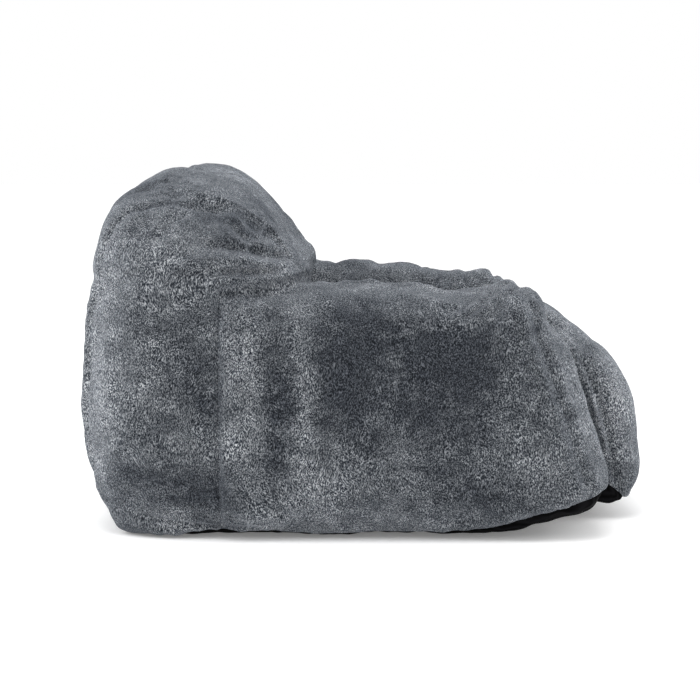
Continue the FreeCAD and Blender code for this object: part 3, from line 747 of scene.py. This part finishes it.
@dataclass(frozen=True)
class ZipLine:
    """Where the zip lies at the foot of the rear: its middle, the way down the cloth and the way out."""

    middle: np.ndarray
    down: np.ndarray
    out: np.ndarray
    half_length: float
    lip: float = 0.0068

    @staticmethod
    def from_frame() -> "ZipLine":
        """The zip's line, from the two rows of teeth in the frame."""
        centres = []
        for node in ("zip_teeth_upper", "zip_teeth_lower"):
            low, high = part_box(node)
            centres.append(np.array((low + high) / 2))
        low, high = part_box("zip_tape_upper")
        down = centres[1] - centres[0]
        down /= np.linalg.norm(down)
        out = np.cross(down, np.array([1.0, 0.0, 0.0]))
        out *= np.sign(out[1])
        return ZipLine((centres[0] + centres[1]) / 2 + out * 0.0015, down, out, float(high.x))

    def local(self, points: np.ndarray) -> tuple[np.ndarray, np.ndarray, np.ndarray]:
        """Distance along the zip, down the cloth and out of it, for each point."""
        offset = points - self.middle
        return points[:, 0], offset @ self.down, offset @ self.out

    def slot(self, points: np.ndarray) -> np.ndarray:
        """Less than nothing inside the slot where the teeth show, and more outside it."""
        along, down, out = self.local(points)
        inside = np.maximum(np.abs(down) - self.lip, np.abs(along) - self.half_length)
        return np.maximum(inside, np.abs(out) - 0.02)


@dataclass
class StuffedSkin:
    """The whole cover as one stuffed skin, before it is cut into panels."""

    voxel: float = 0.008
    out_by: float = 0.0092
    trim: float = 0.0050
    frames: int = 20
    pressure: float = 4.0
    cap: float = 0.0075
    seam_depth: float = 0.0036
    seam_width: float = 0.0065
    base_in: float = 0.003
    gusset_inner: float = 0.30
    chambers: tuple = ("backrest_fill", "seat_fill", "arm_fill_left", "arm_fill_right")
    panels: tuple = (
        "back_panel", "backrest_panel", "back_side_panel_left", "back_side_panel_right", "back_hem_band",
        "arm_outer_panel_left", "arm_outer_panel_right", "arm_inner_panel_left", "arm_inner_panel_right",
        "arm_front_panel_left", "arm_front_panel_right", "seat_panel", "base_panel",
    )

    def build(self, nodes: dict, zip_line: ZipLine) -> Piece:
        """Makes the skin.

        Args:
            nodes: The frame's nodes by name.
            zip_line: Where the zip lies.

        Returns:
            The skin, still one mesh.
        """
        self.zip_line = zip_line
        self.trees = [tree_of(nodes[name]) for name in self.panels]
        skin = self.joined_chambers(nodes)
        self.ease_joins(skin)
        self.mark_seams(skin)
        self.stuff(skin)
        self.flatten_foot(skin)
        apply_modifier(skin, "SUBSURF", levels=1, render_levels=1)
        self.gaps = self.marked(skin)
        self.fold(skin)
        self.flatten_foot(skin)
        self.flatten_zip(skin)
        self.gaps = np.column_stack([self.gaps, self.gaps.min(axis=1) + zip_line.slot(points_of(skin))])
        return skin

    def joined_chambers(self, nodes: dict) -> Piece:
        """The four bead chambers swollen out to the cover and joined into one closed surface."""
        parts = []
        for name in self.chambers:
            part = copy_of(nodes[name], f"{name}_skin")
            voxels(part, self.voxel)
            swell(part, self.out_by)
            parts.append(part)
        parts += self.corner_stuffing()
        only(*parts)
        bpy.ops.object.join()
        voxels(parts[0], self.voxel)
        edit_all(parts[0], bpy.ops.mesh.separate, type="LOOSE")
        shells = sorted(bpy.context.selected_objects, key=lambda o: -len(o.data.vertices))
        for inner in shells[1:]:
            bpy.data.objects.remove(inner)
        shells[0].name = "cover_skin"
        swell(shells[0], -self.trim)
        return shells[0]

    def corner_stuffing(self) -> list[Piece]:
        """Stuffing that bridges the groove where each arm meets the back, so the cover runs on flush."""
        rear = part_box("arm_fill_left")[1].y
        parts = []
        for way in (-1.0, 1.0):
            for gusset in GUSSETS:
                bpy.ops.mesh.primitive_cube_add(size=1.0)
                block = bpy.context.object
                across, along, up = (points_of(block) + 0.5).T
                out = self.gusset_inner + (gusset.width - self.gusset_inner) * across
                out -= gusset.top_in * up * across
                back = rear + gusset.shift + gusset.depth * (2 * along - 1)
                rise = gusset.low + (gusset.high - gusset.low) * up
                place_points(block, np.stack([way * out, back, rise], 1))
                if way < 0:
                    edit_all(block, bpy.ops.mesh.flip_normals)
                voxels(block, self.voxel)
                parts.append(block)
        return parts

    def ease_joins(self, skin: Piece) -> None:
        """Smooths the whole skin a little, and a lot where an arm runs on into the back."""
        points = points_of(skin)
        edges = edges_of(skin)
        wide, deep, tall = np.abs(points[:, 0]), points[:, 1], points[:, 2]
        outer = smooth_step(wide, 0.32, 0.36)
        groove = bell(deep - 0.243, 0.045) * smooth_step(0.47 - tall, 0.0, 0.06)
        shoulder = bell(deep - 0.170, 0.085) * bell(tall - 0.436, 0.050)
        share = 0.12 + 0.5 * np.clip(outer * (groove + shoulder), 0, 1)
        points = relax(points, edges, 6, 0.35)
        place_points(skin, relax(points, edges, 36, share * (share > 0.16)))

    def stuff(self, skin: Piece) -> None:
        """Blows the skin up a little with its seams held, so that the cloth swells and puckers."""
        before = points_of(skin)
        ordered = np.sort(self.marked(skin), axis=1)
        seam = ordered[:, 1] - ordered[:, 0]
        along, down, out = self.zip_line.local(before)
        zip_zone = np.abs(along) < self.zip_line.half_length + 0.02
        zip_zone &= (np.abs(down) < 0.03) & (np.abs(out) < 0.03)
        held = (seam < 0.006) | (before[:, 2] < 0.010) | zip_zone
        group = skin.vertex_groups.new(name="held")
        group.add([int(i) for i in np.nonzero(held)[0]], 1.0, "REPLACE")
        only(skin)
        cloth = skin.modifiers.new("stuffing", "CLOTH")
        settings = cloth.settings
        settings.quality = 4
        settings.mass = 0.3
        settings.tension_stiffness = 12.0
        settings.compression_stiffness = 10.0
        settings.shear_stiffness = 4.0
        settings.bending_stiffness = 0.6
        settings.use_pressure = True
        settings.uniform_pressure_force = self.pressure
        settings.shrink_min = -0.05
        settings.effector_weights.gravity = 0.0
        settings.vertex_group_mass = "held"
        cloth.collision_settings.use_collision = False
        cloth.point_cache.frame_start = 1
        cloth.point_cache.frame_end = self.frames
        scene = bpy.context.scene
        for frame in range(1, self.frames + 1):
            scene.frame_set(frame)
        bpy.ops.object.modifier_apply(modifier=cloth.name)
        scene.frame_set(1)
        after = points_of(skin)
        moved = after - before
        length = np.linalg.norm(moved, axis=1).clip(1e-9)
        capped = self.cap * np.tanh(length / self.cap)
        after = before + moved * (capped / length)[:, None]
        place_points(skin, relax(after, edges_of(skin), 2, 0.35))
        skin.vertex_groups.clear()

    def mark_seams(self, skin: Piece) -> None:
        """Writes on each vertex how far it is from each sewn panel, so that the seams stay with the cloth."""
        points = points_of(skin)
        fields = np.full((len(points), len(self.trees)), 0.25)
        for column, tree in enumerate(self.trees):
            for row, point in enumerate(points):
                found = tree.find_nearest(Vector(point), 0.12)
                if found[3] is not None:
                    fields[row, column] = found[3]
        fields = relax(fields, edges_of(skin), 2, 0.5)
        front = smooth_step(-points[:, 1], 0.08, 0.30)
        heel = bell(points[:, 1] - 0.165, 0.030)
        rim = smooth_step(0.10 - points[:, 2], 0.0, 0.04)
        fields[:, self.panels.index("base_panel")] -= rim * (0.006 + 0.040 * front + 0.008 * heel)
        for column, name in enumerate(self.panels):
            mark = skin.data.attributes.new(f"gap_{name}", "FLOAT", "POINT")
            mark.data.foreach_set("value", fields[:, column].astype(np.float32))

    def marked(self, skin: Piece) -> np.ndarray:
        """The lengths that mark_seams wrote: a row for each vertex with one for each panel."""
        columns = []
        for name in self.panels:
            column = np.empty(len(skin.data.vertices), np.float32)
            skin.data.attributes[f"gap_{name}"].data.foreach_get("value", column)
            columns.append(column.astype(float))
        return np.column_stack(columns)

    def fold(self, skin: Piece) -> None:
        """Works the folds, the seams and the slight unevenness of the beads into the skin."""
        points = points_of(skin)
        normals = normals_of(skin)
        lift = self.seam_lift(points)
        lift += 0.0045 * grain(points, 0.100, 7.0) + 0.0020 * grain(points, 0.042, 11.0)
        for fold in CROWN_FOLDS + PINCH_FOLDS + ARM_FOLDS + ROLL_FOLDS + BACK_FOLDS + TOP_FOLDS:
            lift += fold.lift(points, normals)
        points[:, 2] += self.arm_crest(points)
        lift += self.eased(points)
        points += self.foot_and_heel(points)
        place_points(skin, points + normals * lift[:, None])
        place_points(skin, relax(points_of(skin), edges_of(skin), 1, 0.3))

    def seam_lift(self, points: np.ndarray) -> np.ndarray:
        """The groove, rims and puckers along the seams, fainter high up between arm and back."""
        deep, tall = points[:, 1], points[:, 2]
        nearest = np.sort(self.gaps, axis=1)
        seam = nearest[:, 1] - nearest[:, 0]
        high_up = smooth_step(tall, 0.14, 0.26) * smooth_step(0.45 - tall, 0.0, 0.03)
        faint = 1.0 - 0.75 * bell(deep - 0.147, 0.040) * high_up
        groove = -self.seam_depth * bell(seam, self.seam_width)
        rim = 0.0016 * bell(seam - 0.018, 0.009)
        return (groove + rim) * faint + 0.0030 * bell(seam, 0.045) * grain(points, 0.020, 3.0)

    def arm_crest(self, points: np.ndarray) -> np.ndarray:
        """How far the arms' tops rise or sink: a dip in the middle, and the left arm lower at its front."""
        wide, deep, tall = np.abs(points[:, 0]), points[:, 1], points[:, 2]
        on_arm = smooth_step(wide, 0.225, 0.26) * smooth_step(tall, 0.31, 0.41)
        on_arm *= smooth_step(0.10 - deep, -0.08, 0.06)
        crest = 0.003 - 0.017 * bell(deep + 0.162, 0.048) + 0.003 * bell(deep + 0.25, 0.03)
        crest -= 0.022 * smooth_step(-deep, 0.15, 0.26) * (points[:, 0] > 0)
        return on_arm * crest

    def eased(self, points: np.ndarray) -> np.ndarray:
        """How far the skin is let in or out by the easings, at the rear and over the base."""
        wide, deep, tall = np.abs(points[:, 0]), points[:, 1], points[:, 2]
        shares = {
            Region.DOME_FRONT: smooth_step(0.29 - deep, 0.0, 0.05) * smooth_step(tall, 0.44, 0.48),
            Region.ARMS: smooth_step(wide, 0.24, 0.27),
            Region.SEAT: smooth_step(0.25 - wide, 0.0, 0.03),
            Region.ALL: 1.0,
        }
        lift = 0.005 * smooth_step(deep, 0.36, 0.40) * bell(tall - 0.540, 0.060)
        lift -= 0.007 * smooth_step(deep, 0.36, 0.42) * bell(tall - 0.285, 0.055)
        for easing in EASINGS:
            away = np.hypot(deep - easing.middle[0] * MM, tall - easing.middle[1] * MM)
            lift += easing.rise * MM * shares[easing.region] * bell(away, easing.radius * MM)
        return lift - self.base_in * (self.gaps.argmin(axis=1) == self.panels.index("base_panel"))

    def foot_and_heel(self, points: np.ndarray) -> np.ndarray:
        """How far the seat's hanging foot, the rear's heels and the arms' toes are moved."""
        wide, deep, tall = np.abs(points[:, 0]), points[:, 1], points[:, 2]
        foot = smooth_step(0.25 - wide, 0.0, 0.03) * smooth_step(-deep, 0.37, 0.43)
        foot *= smooth_step(0.14 - tall, 0.0, 0.07)
        beside_zip = self.zip_line.half_length + 0.02
        heel = smooth_step(wide, beside_zip, beside_zip + 0.05)
        heel *= smooth_step(deep, 0.36, 0.42) * smooth_step(0.13 - tall, 0.0, 0.05)
        toe = smooth_step(wide, 0.24, 0.27) * bell(deep + 0.330, 0.050) * smooth_step(0.06 - tall, 0.0, 0.04)
        moved = np.zeros_like(points)
        moved[:, 1] = 0.014 * heel - 0.017 * foot
        moved[:, 2] = 0.011 * toe - 0.006 * heel - 0.034 * foot
        return moved

    def flatten_foot(self, skin: Piece) -> None:
        """Rests the skin on the floor, with nothing below it."""
        points = points_of(skin)
        points[:, 2] = np.maximum(points[:, 2], FLOOR_GAP)
        place_points(skin, points)

    def flatten_zip(self, skin: Piece) -> None:
        """Lays the skin flat along the zip, with a soft lip on each side of the slot."""
        points = points_of(skin)
        along, down, out = self.zip_line.local(points)
        near = smooth_step(self.zip_line.half_length + 0.03 - np.abs(along), 0.0, 0.03)
        near *= smooth_step(0.045 - np.abs(down), 0.0, 0.025) * (np.abs(out) < 0.03)
        lip = 0.0022 * bell(np.abs(down) - 0.0125, 0.0045) - 0.0004
        points += (near * (lip - out))[:, None] * self.zip_line.out
        place_points(skin, points)


@dataclass
class CoverPanels:
    """The skin cut along its seams into sewn panels, each a cloth of its own."""

    skin: StuffedSkin
    thickness: float = 0.0024

    def build(self, source: Piece, plush: Material, black: Material) -> None:
        """Cuts the skin and dresses each panel.

        Args:
            source: The stuffed skin.
            plush: The material of the cover.
            black: The material of the base.
        """
        apply_modifier(source, "TRIANGULATE")
        flat = np.empty(len(source.data.polygons) * 3, np.int32)
        source.data.polygons.foreach_get("vertices", flat)
        triangles = flat.reshape(-1, 3)
        points, cut = self.cut(points_of(source), triangles, self.skin.gaps)
        for label, name in enumerate(self.skin.panels):
            piece = self.panel(f"{name}_cloth", points, cut[label])
            is_base = name == "base_panel"
            piece.data.materials.append(black if is_base else plush)
            settle(piece, name)

    def cut(self, points: np.ndarray, triangles: np.ndarray, gaps: np.ndarray) -> tuple[np.ndarray, list]:
        """Cuts the triangles where the nearest panel changes.

        Args:
            points: The skin's vertices.
            triangles: Its triangles.
            gaps: Each vertex's distance to each panel.

        Returns:
            All points, the new ones last, and a list of faces for each panel.
        """
        nearest = gaps.argmin(axis=1)
        of_corner = nearest[triangles]
        whole = (of_corner[:, 0] == of_corner[:, 1]) & (of_corner[:, 1] == of_corner[:, 2])
        faces = [[tuple(t) for t in triangles[whole & (of_corner[:, 0] == k)]] for k in range(gaps.shape[1])]
        added: list[np.ndarray] = []
        cuts: dict[tuple, int] = {}

        def crossing(i: int, j: int) -> int:
            """The new point where the seam crosses the edge from i to j."""
            key = (min(i, j), max(i, j))
            if key not in cuts:
                i, j = key
                a, b = nearest[i], nearest[j]
                first, second = gaps[i, b] - gaps[i, a], gaps[j, a] - gaps[j, b]
                t = float(np.clip(first / max(first + second, 1e-9), 0.04, 0.96))
                cuts[key] = len(points) + len(added)
                added.append(points[i] * (1 - t) + points[j] * t)
            return cuts[key]

        for tri in triangles[~whole]:
            i, j, k = (int(x) for x in tri)
            a, b, c = nearest[i], nearest[j], nearest[k]
            if a != b and b != c and a != c:
                centre = len(points) + len(added)
                added.append(points[[i, j, k]].mean(axis=0))
                ring = (crossing(i, j), crossing(j, k), crossing(k, i))
                faces[a].append((i, ring[0], centre, ring[2]))
                faces[b].append((j, ring[1], centre, ring[0]))
                faces[c].append((k, ring[2], centre, ring[1]))
                continue
            while nearest[j] != nearest[k]:
                i, j, k = j, k, i
            first, second = crossing(i, j), crossing(k, i)
            faces[nearest[i]].append((i, first, second))
            faces[nearest[j]].append((first, j, k, second))
        return np.vstack([points, np.array(added)]), faces

    def panel(self, name: str, points: np.ndarray, faces: list) -> Piece:
        """One panel: its own mesh with its own thickness of cloth.

        Args:
            name: The panel's name.
            points: All points.
            faces: The faces of this panel.

        Returns:
            The panel.
        """
        used = sorted({i for face in faces for i in face})
        number = {old: new for new, old in enumerate(used)}
        mesh = bpy.data.meshes.new(name)
        mesh.from_pydata(points[used].tolist(), [], [tuple(number[i] for i in face) for face in faces])
        mesh.validate()
        mesh.update()
        piece = linked(name, mesh)
        only(piece)
        bpy.ops.object.shade_smooth()
        apply_modifier(piece, "SOLIDIFY", thickness=self.thickness, offset=-1.0, use_even_offset=False)
        return piece


# What is inside the cover


@dataclass
class Inside:
    """The bead bags and the cloth walls between them, all kept clear of the cover's inner face."""

    skin_tree: BVHTree
    cover: float = 0.0024
    clear: float = 0.0030
    rounds: int = 3

    def keep_in(self, piece: Piece, extra: float = 0.0) -> None:
        """Pulls every point that is too near the cover, or past it, back inside.

        Args:
            piece: The piece.
            extra: Room for what lies between the piece and the cover.
        """
        need = self.cover + self.clear + extra
        points = points_of(piece)
        for _ in range(self.rounds):
            for row, point in enumerate(points):
                spot, normal, _, _ = self.skin_tree.find_nearest(Vector(point))
                depth = (spot - Vector(point)).dot(normal)
                if depth < need:
                    points[row] = np.array(Vector(point) - normal * (need - depth))
            points = relax(points, edges_of(piece), 1, 0.25)
        place_points(piece, points)

    def bead_bag(self, node: Piece, name: str, material: Material) -> Piece:
        """One chamber's beads: a lumpy body of the chamber's shape."""
        piece = copy_of(node, name)
        voxels(piece, 0.012)
        swell(piece, -0.011)
        points = points_of(piece)
        lift = 0.0015 * grain(points, 0.03, 5.0)
        place_points(piece, points + normals_of(piece) * lift[:, None])
        self.keep_in(piece, 0.004)
        piece.data.materials.append(material)
        only(piece)
        bpy.ops.object.shade_smooth()
        settle(piece, node.name)
        return piece

    def liner(self, beads: Piece, node: str, name: str, material: Material) -> None:
        """The bag round one chamber's beads: a thin crumpled cloth."""
        piece = linked(name, beads.data.copy())
        piece.data.materials.clear()
        swell(piece, 0.0022)
        points = points_of(piece)
        lift = 0.0005 * grain(points, 0.045, 9.0)
        place_points(piece, points + normals_of(piece) * lift[:, None])
        self.keep_in(piece, 0.0014)
        apply_modifier(piece, "SOLIDIFY", thickness=0.0006, offset=-1.0)
        piece.data.materials.append(material)
        settle(piece, node)

    def wall(self, node: Piece, name: str, material: Material) -> None:
        """A cloth wall between two chambers, slightly wavy."""
        piece = copy_of(node, name)
        voxels(piece, 0.0032)
        points = points_of(piece)
        normals = normals_of(piece)
        wave = 0.0004 * grain(points, 0.06, 2.0)
        place_points(piece, points + normals * wave[:, None])
        apply_modifier(piece, "DECIMATE", ratio=0.35)
        self.keep_in(piece)
        piece.data.materials.append(material)
        only(piece)
        bpy.ops.object.shade_smooth_by_angle(angle=math.radians(45))
        settle(piece, node.name)


# Zip


@dataclass
class Zip:
    """The zip: two rows of moulded teeth, with the frame's tapes, slider and end stops."""

    line: ZipLine
    pitch: float = 0.0025
    tooth_wide: float = 0.0014
    tooth_reach: float = 0.0036
    tooth_tall: float = 0.0020

    def build(self, nodes: dict, tape: Material, teeth: Material, metal: Material) -> None:
        """Makes the teeth and dresses the frame's own pieces.

        Args:
            nodes: The frame's nodes by name.
            tape: The tapes' material.
            teeth: The teeth's material.
            metal: The slider's and the stops' material.
        """
        for name in ("zip_tape_upper", "zip_tape_lower"):
            self.dress(nodes[name], tape)
        for name in ("zip_slider", "zip_stop_closed_end", "zip_stop_open_end"):
            self.dress(nodes[name], metal)
        for name, way in (("zip_teeth_upper", -1.0), ("zip_teeth_lower", 1.0)):
            row = self.row(f"{name}_moulded", way, name)
            row.data.materials.append(teeth)
            settle(row, name)

    def dress(self, node: Piece, material: Material) -> None:
        """Gives a frame node its material."""
        node.data.materials.clear()
        node.data.materials.append(material)

    def row(self, name: str, way: float, node: str) -> Piece:
        """One row of teeth.

        Args:
            name: The row's name.
            way: -1 for the upper row and 1 for the lower one.
            node: The frame's plain row, whose length it takes.

        Returns:
            The row, in its place.
        """
        low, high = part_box(node)
        count = int((high.x - low.x) / self.pitch) - 1
        bpy.ops.mesh.primitive_cube_add(size=1.0)
        tooth = bpy.context.object
        tooth.name = name
        tooth.data.name = name
        shape = points_of(tooth)
        narrow = 1.0 - 0.35 * (shape[:, 1] < 0)
        shape[:, 0] *= self.tooth_wide * narrow
        shape[:, 1] = 0.0014 + self.tooth_reach * (shape[:, 1] + 0.5) - 0.0020
        shape[:, 2] *= self.tooth_tall
        place_points(tooth, shape)
        apply_modifier(tooth, "BEVEL", width=0.00025, segments=1)
        apply_modifier(
            tooth, "ARRAY", count=count, use_relative_offset=False, use_constant_offset=True,
            constant_offset_displace=(self.pitch, 0.0, 0.0),
        )
        shape = points_of(tooth)
        start = low.x + self.pitch * (0.5 if way < 0 else 1.0)
        along = shape[:, 0] + start
        place = self.line.middle + np.outer(shape[:, 1] * way, self.line.down)
        place += np.outer(shape[:, 2] - 0.0015, self.line.out)
        place[:, 0] = along
        place_points(tooth, place)
        edit_all(tooth, bpy.ops.mesh.normals_make_consistent, inside=False)
        bpy.ops.object.shade_smooth_by_angle(angle=math.radians(40))
        return tooth


# Studio


@dataclass
class Studio:
    """A pale floor, soft lights and the camera."""

    distance: float = 3.86
    height: float = 0.66
    aim: tuple = (0.0, 0.026, 0.278)
    lens: float = 107.0

    def build(self) -> None:
        """Makes the floor, the lights and the camera."""
        self.floor()
        self.lights()
        self.camera()

    def floor(self) -> None:
        """A wide pale floor that fades into the backdrop."""
        bpy.ops.mesh.primitive_plane_add(size=60.0, location=(0.0, 0.0, 0.0))
        floor = bpy.context.object
        floor.name = "studio_floor"
        material, tree, shader, place = Finish("pale_floor", 0.9).start()
        shade = noise_node(tree, place.outputs["Object"], 3.0, 3.0)
        colour = ramp(tree, shade, [(0.3, (0.93, 0.93, 0.93)), (0.7, (0.96, 0.96, 0.96))])
        tree.links.new(colour, shader.inputs["Base Color"])
        shader.inputs["Specular IOR Level"].default_value = 0.1
        shader.inputs["Emission Color"].default_value = (1.0, 1.0, 1.0, 1.0)
        shader.inputs["Emission Strength"].default_value = 0.16
        floor.data.materials.append(material)

    def lights(self) -> None:
        """Big soft lamps round the chair and a white surround."""
        world = bpy.data.worlds.new("surround")
        bpy.context.scene.world = world
        world.use_nodes = True
        world.node_tree.nodes["Background"].inputs["Color"].default_value = (1.0, 1.0, 1.0, 1.0)
        world.node_tree.nodes["Background"].inputs["Strength"].default_value = 1.0
        for name, place, size, power in (
            ("overhead", (-0.8, 0.3, 3.4), 2.6, 70.0),
            ("rear_side", (0.6, 3.0, 1.5), 1.8, 38.0),
            ("front_side", (0.4, -3.2, 1.4), 1.8, 26.0),
        ):
            lamp = bpy.data.lights.new(name, "AREA")
            lamp.size = size
            lamp.energy = power
            holder = bpy.data.objects.new(name, lamp)
            holder.location = place
            towards = Vector((0.0, 0.0, 0.3)) - Vector(place)
            holder.rotation_euler = towards.to_track_quat("-Z", "Y").to_euler()
            bpy.context.scene.collection.objects.link(holder)

    def camera(self) -> None:
        """The camera, level with the chair's side and a little above its top edge."""
        data = bpy.data.cameras.new("camera")
        data.lens = self.lens
        data.sensor_width = 36.0
        camera = bpy.data.objects.new("camera", data)
        camera.location = (-self.distance, self.aim[1], self.height)
        camera.rotation_euler = (Vector(self.aim) - camera.location).to_track_quat("-Z", "Y").to_euler()
        bpy.context.scene.collection.objects.link(camera)
        bpy.context.scene.camera = camera
        bpy.context.scene.view_settings.view_transform = "Standard"


def main() -> None:
    """Builds the chair's pieces in order and reports each one."""
    logging.basicConfig(level=logging.INFO, format="%(message)s")
    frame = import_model()
    nodes = frame["nodes"]
    plush = Plush("plush", 0.95).material()
    black_dark, black_light = (0.0012, 0.0012, 0.0014), (0.006, 0.006, 0.007)
    black = WovenCloth("base_cloth", 0.95, black_dark, black_light, gloss=0.05).material()
    liner = WovenCloth("liner_cloth", 0.8, (0.55, 0.55, 0.54), (0.78, 0.78, 0.77), 500.0).material()
    wall = WovenCloth("partition_cloth", 0.85, (0.03, 0.03, 0.035), (0.09, 0.09, 0.10), 700.0).material()
    tape = WovenCloth("zip_tape", 0.8, (0.012, 0.013, 0.015), (0.04, 0.042, 0.048), 1500.0).material()
    teeth = WovenCloth("zip_teeth", 0.35, (0.010, 0.010, 0.011), (0.02, 0.02, 0.022), 300.0).material()
    metal = Metal("zip_metal", 0.32).material()
    beads = BeadFill("bead_fill", 0.7).material()

    zip_line = ZipLine.from_frame()
    skin_maker = StuffedSkin()
    skin = skin_maker.build(nodes, zip_line)
    log.info("skin: %d vertices", len(skin.data.vertices))
    skin_tree = tree_of(skin)
    CoverPanels(skin_maker).build(skin, plush, black)
    bpy.data.objects.remove(skin)

    inside = Inside(skin_tree)
    for chamber in ("backrest", "seat", "arm"):
        for end in ("_left", "_right") if chamber == "arm" else ("",):
            bag = inside.bead_bag(nodes[f"{chamber}_fill{end}"], f"{chamber}_beads{end}", beads)
            inside.liner(bag, f"{chamber}_liner{end}", f"{chamber}_bag{end}", liner)
    for name in ("arm_partition_left", "arm_partition_right", "arm_back_partition_left",
                 "arm_back_partition_right", "seat_back_partition"):
        inside.wall(nodes[name], f"{name}_cloth", wall)
    Zip(zip_line).build(nodes, tape, teeth, metal)
    Studio().build()


if __name__ == "__main__":
    main()
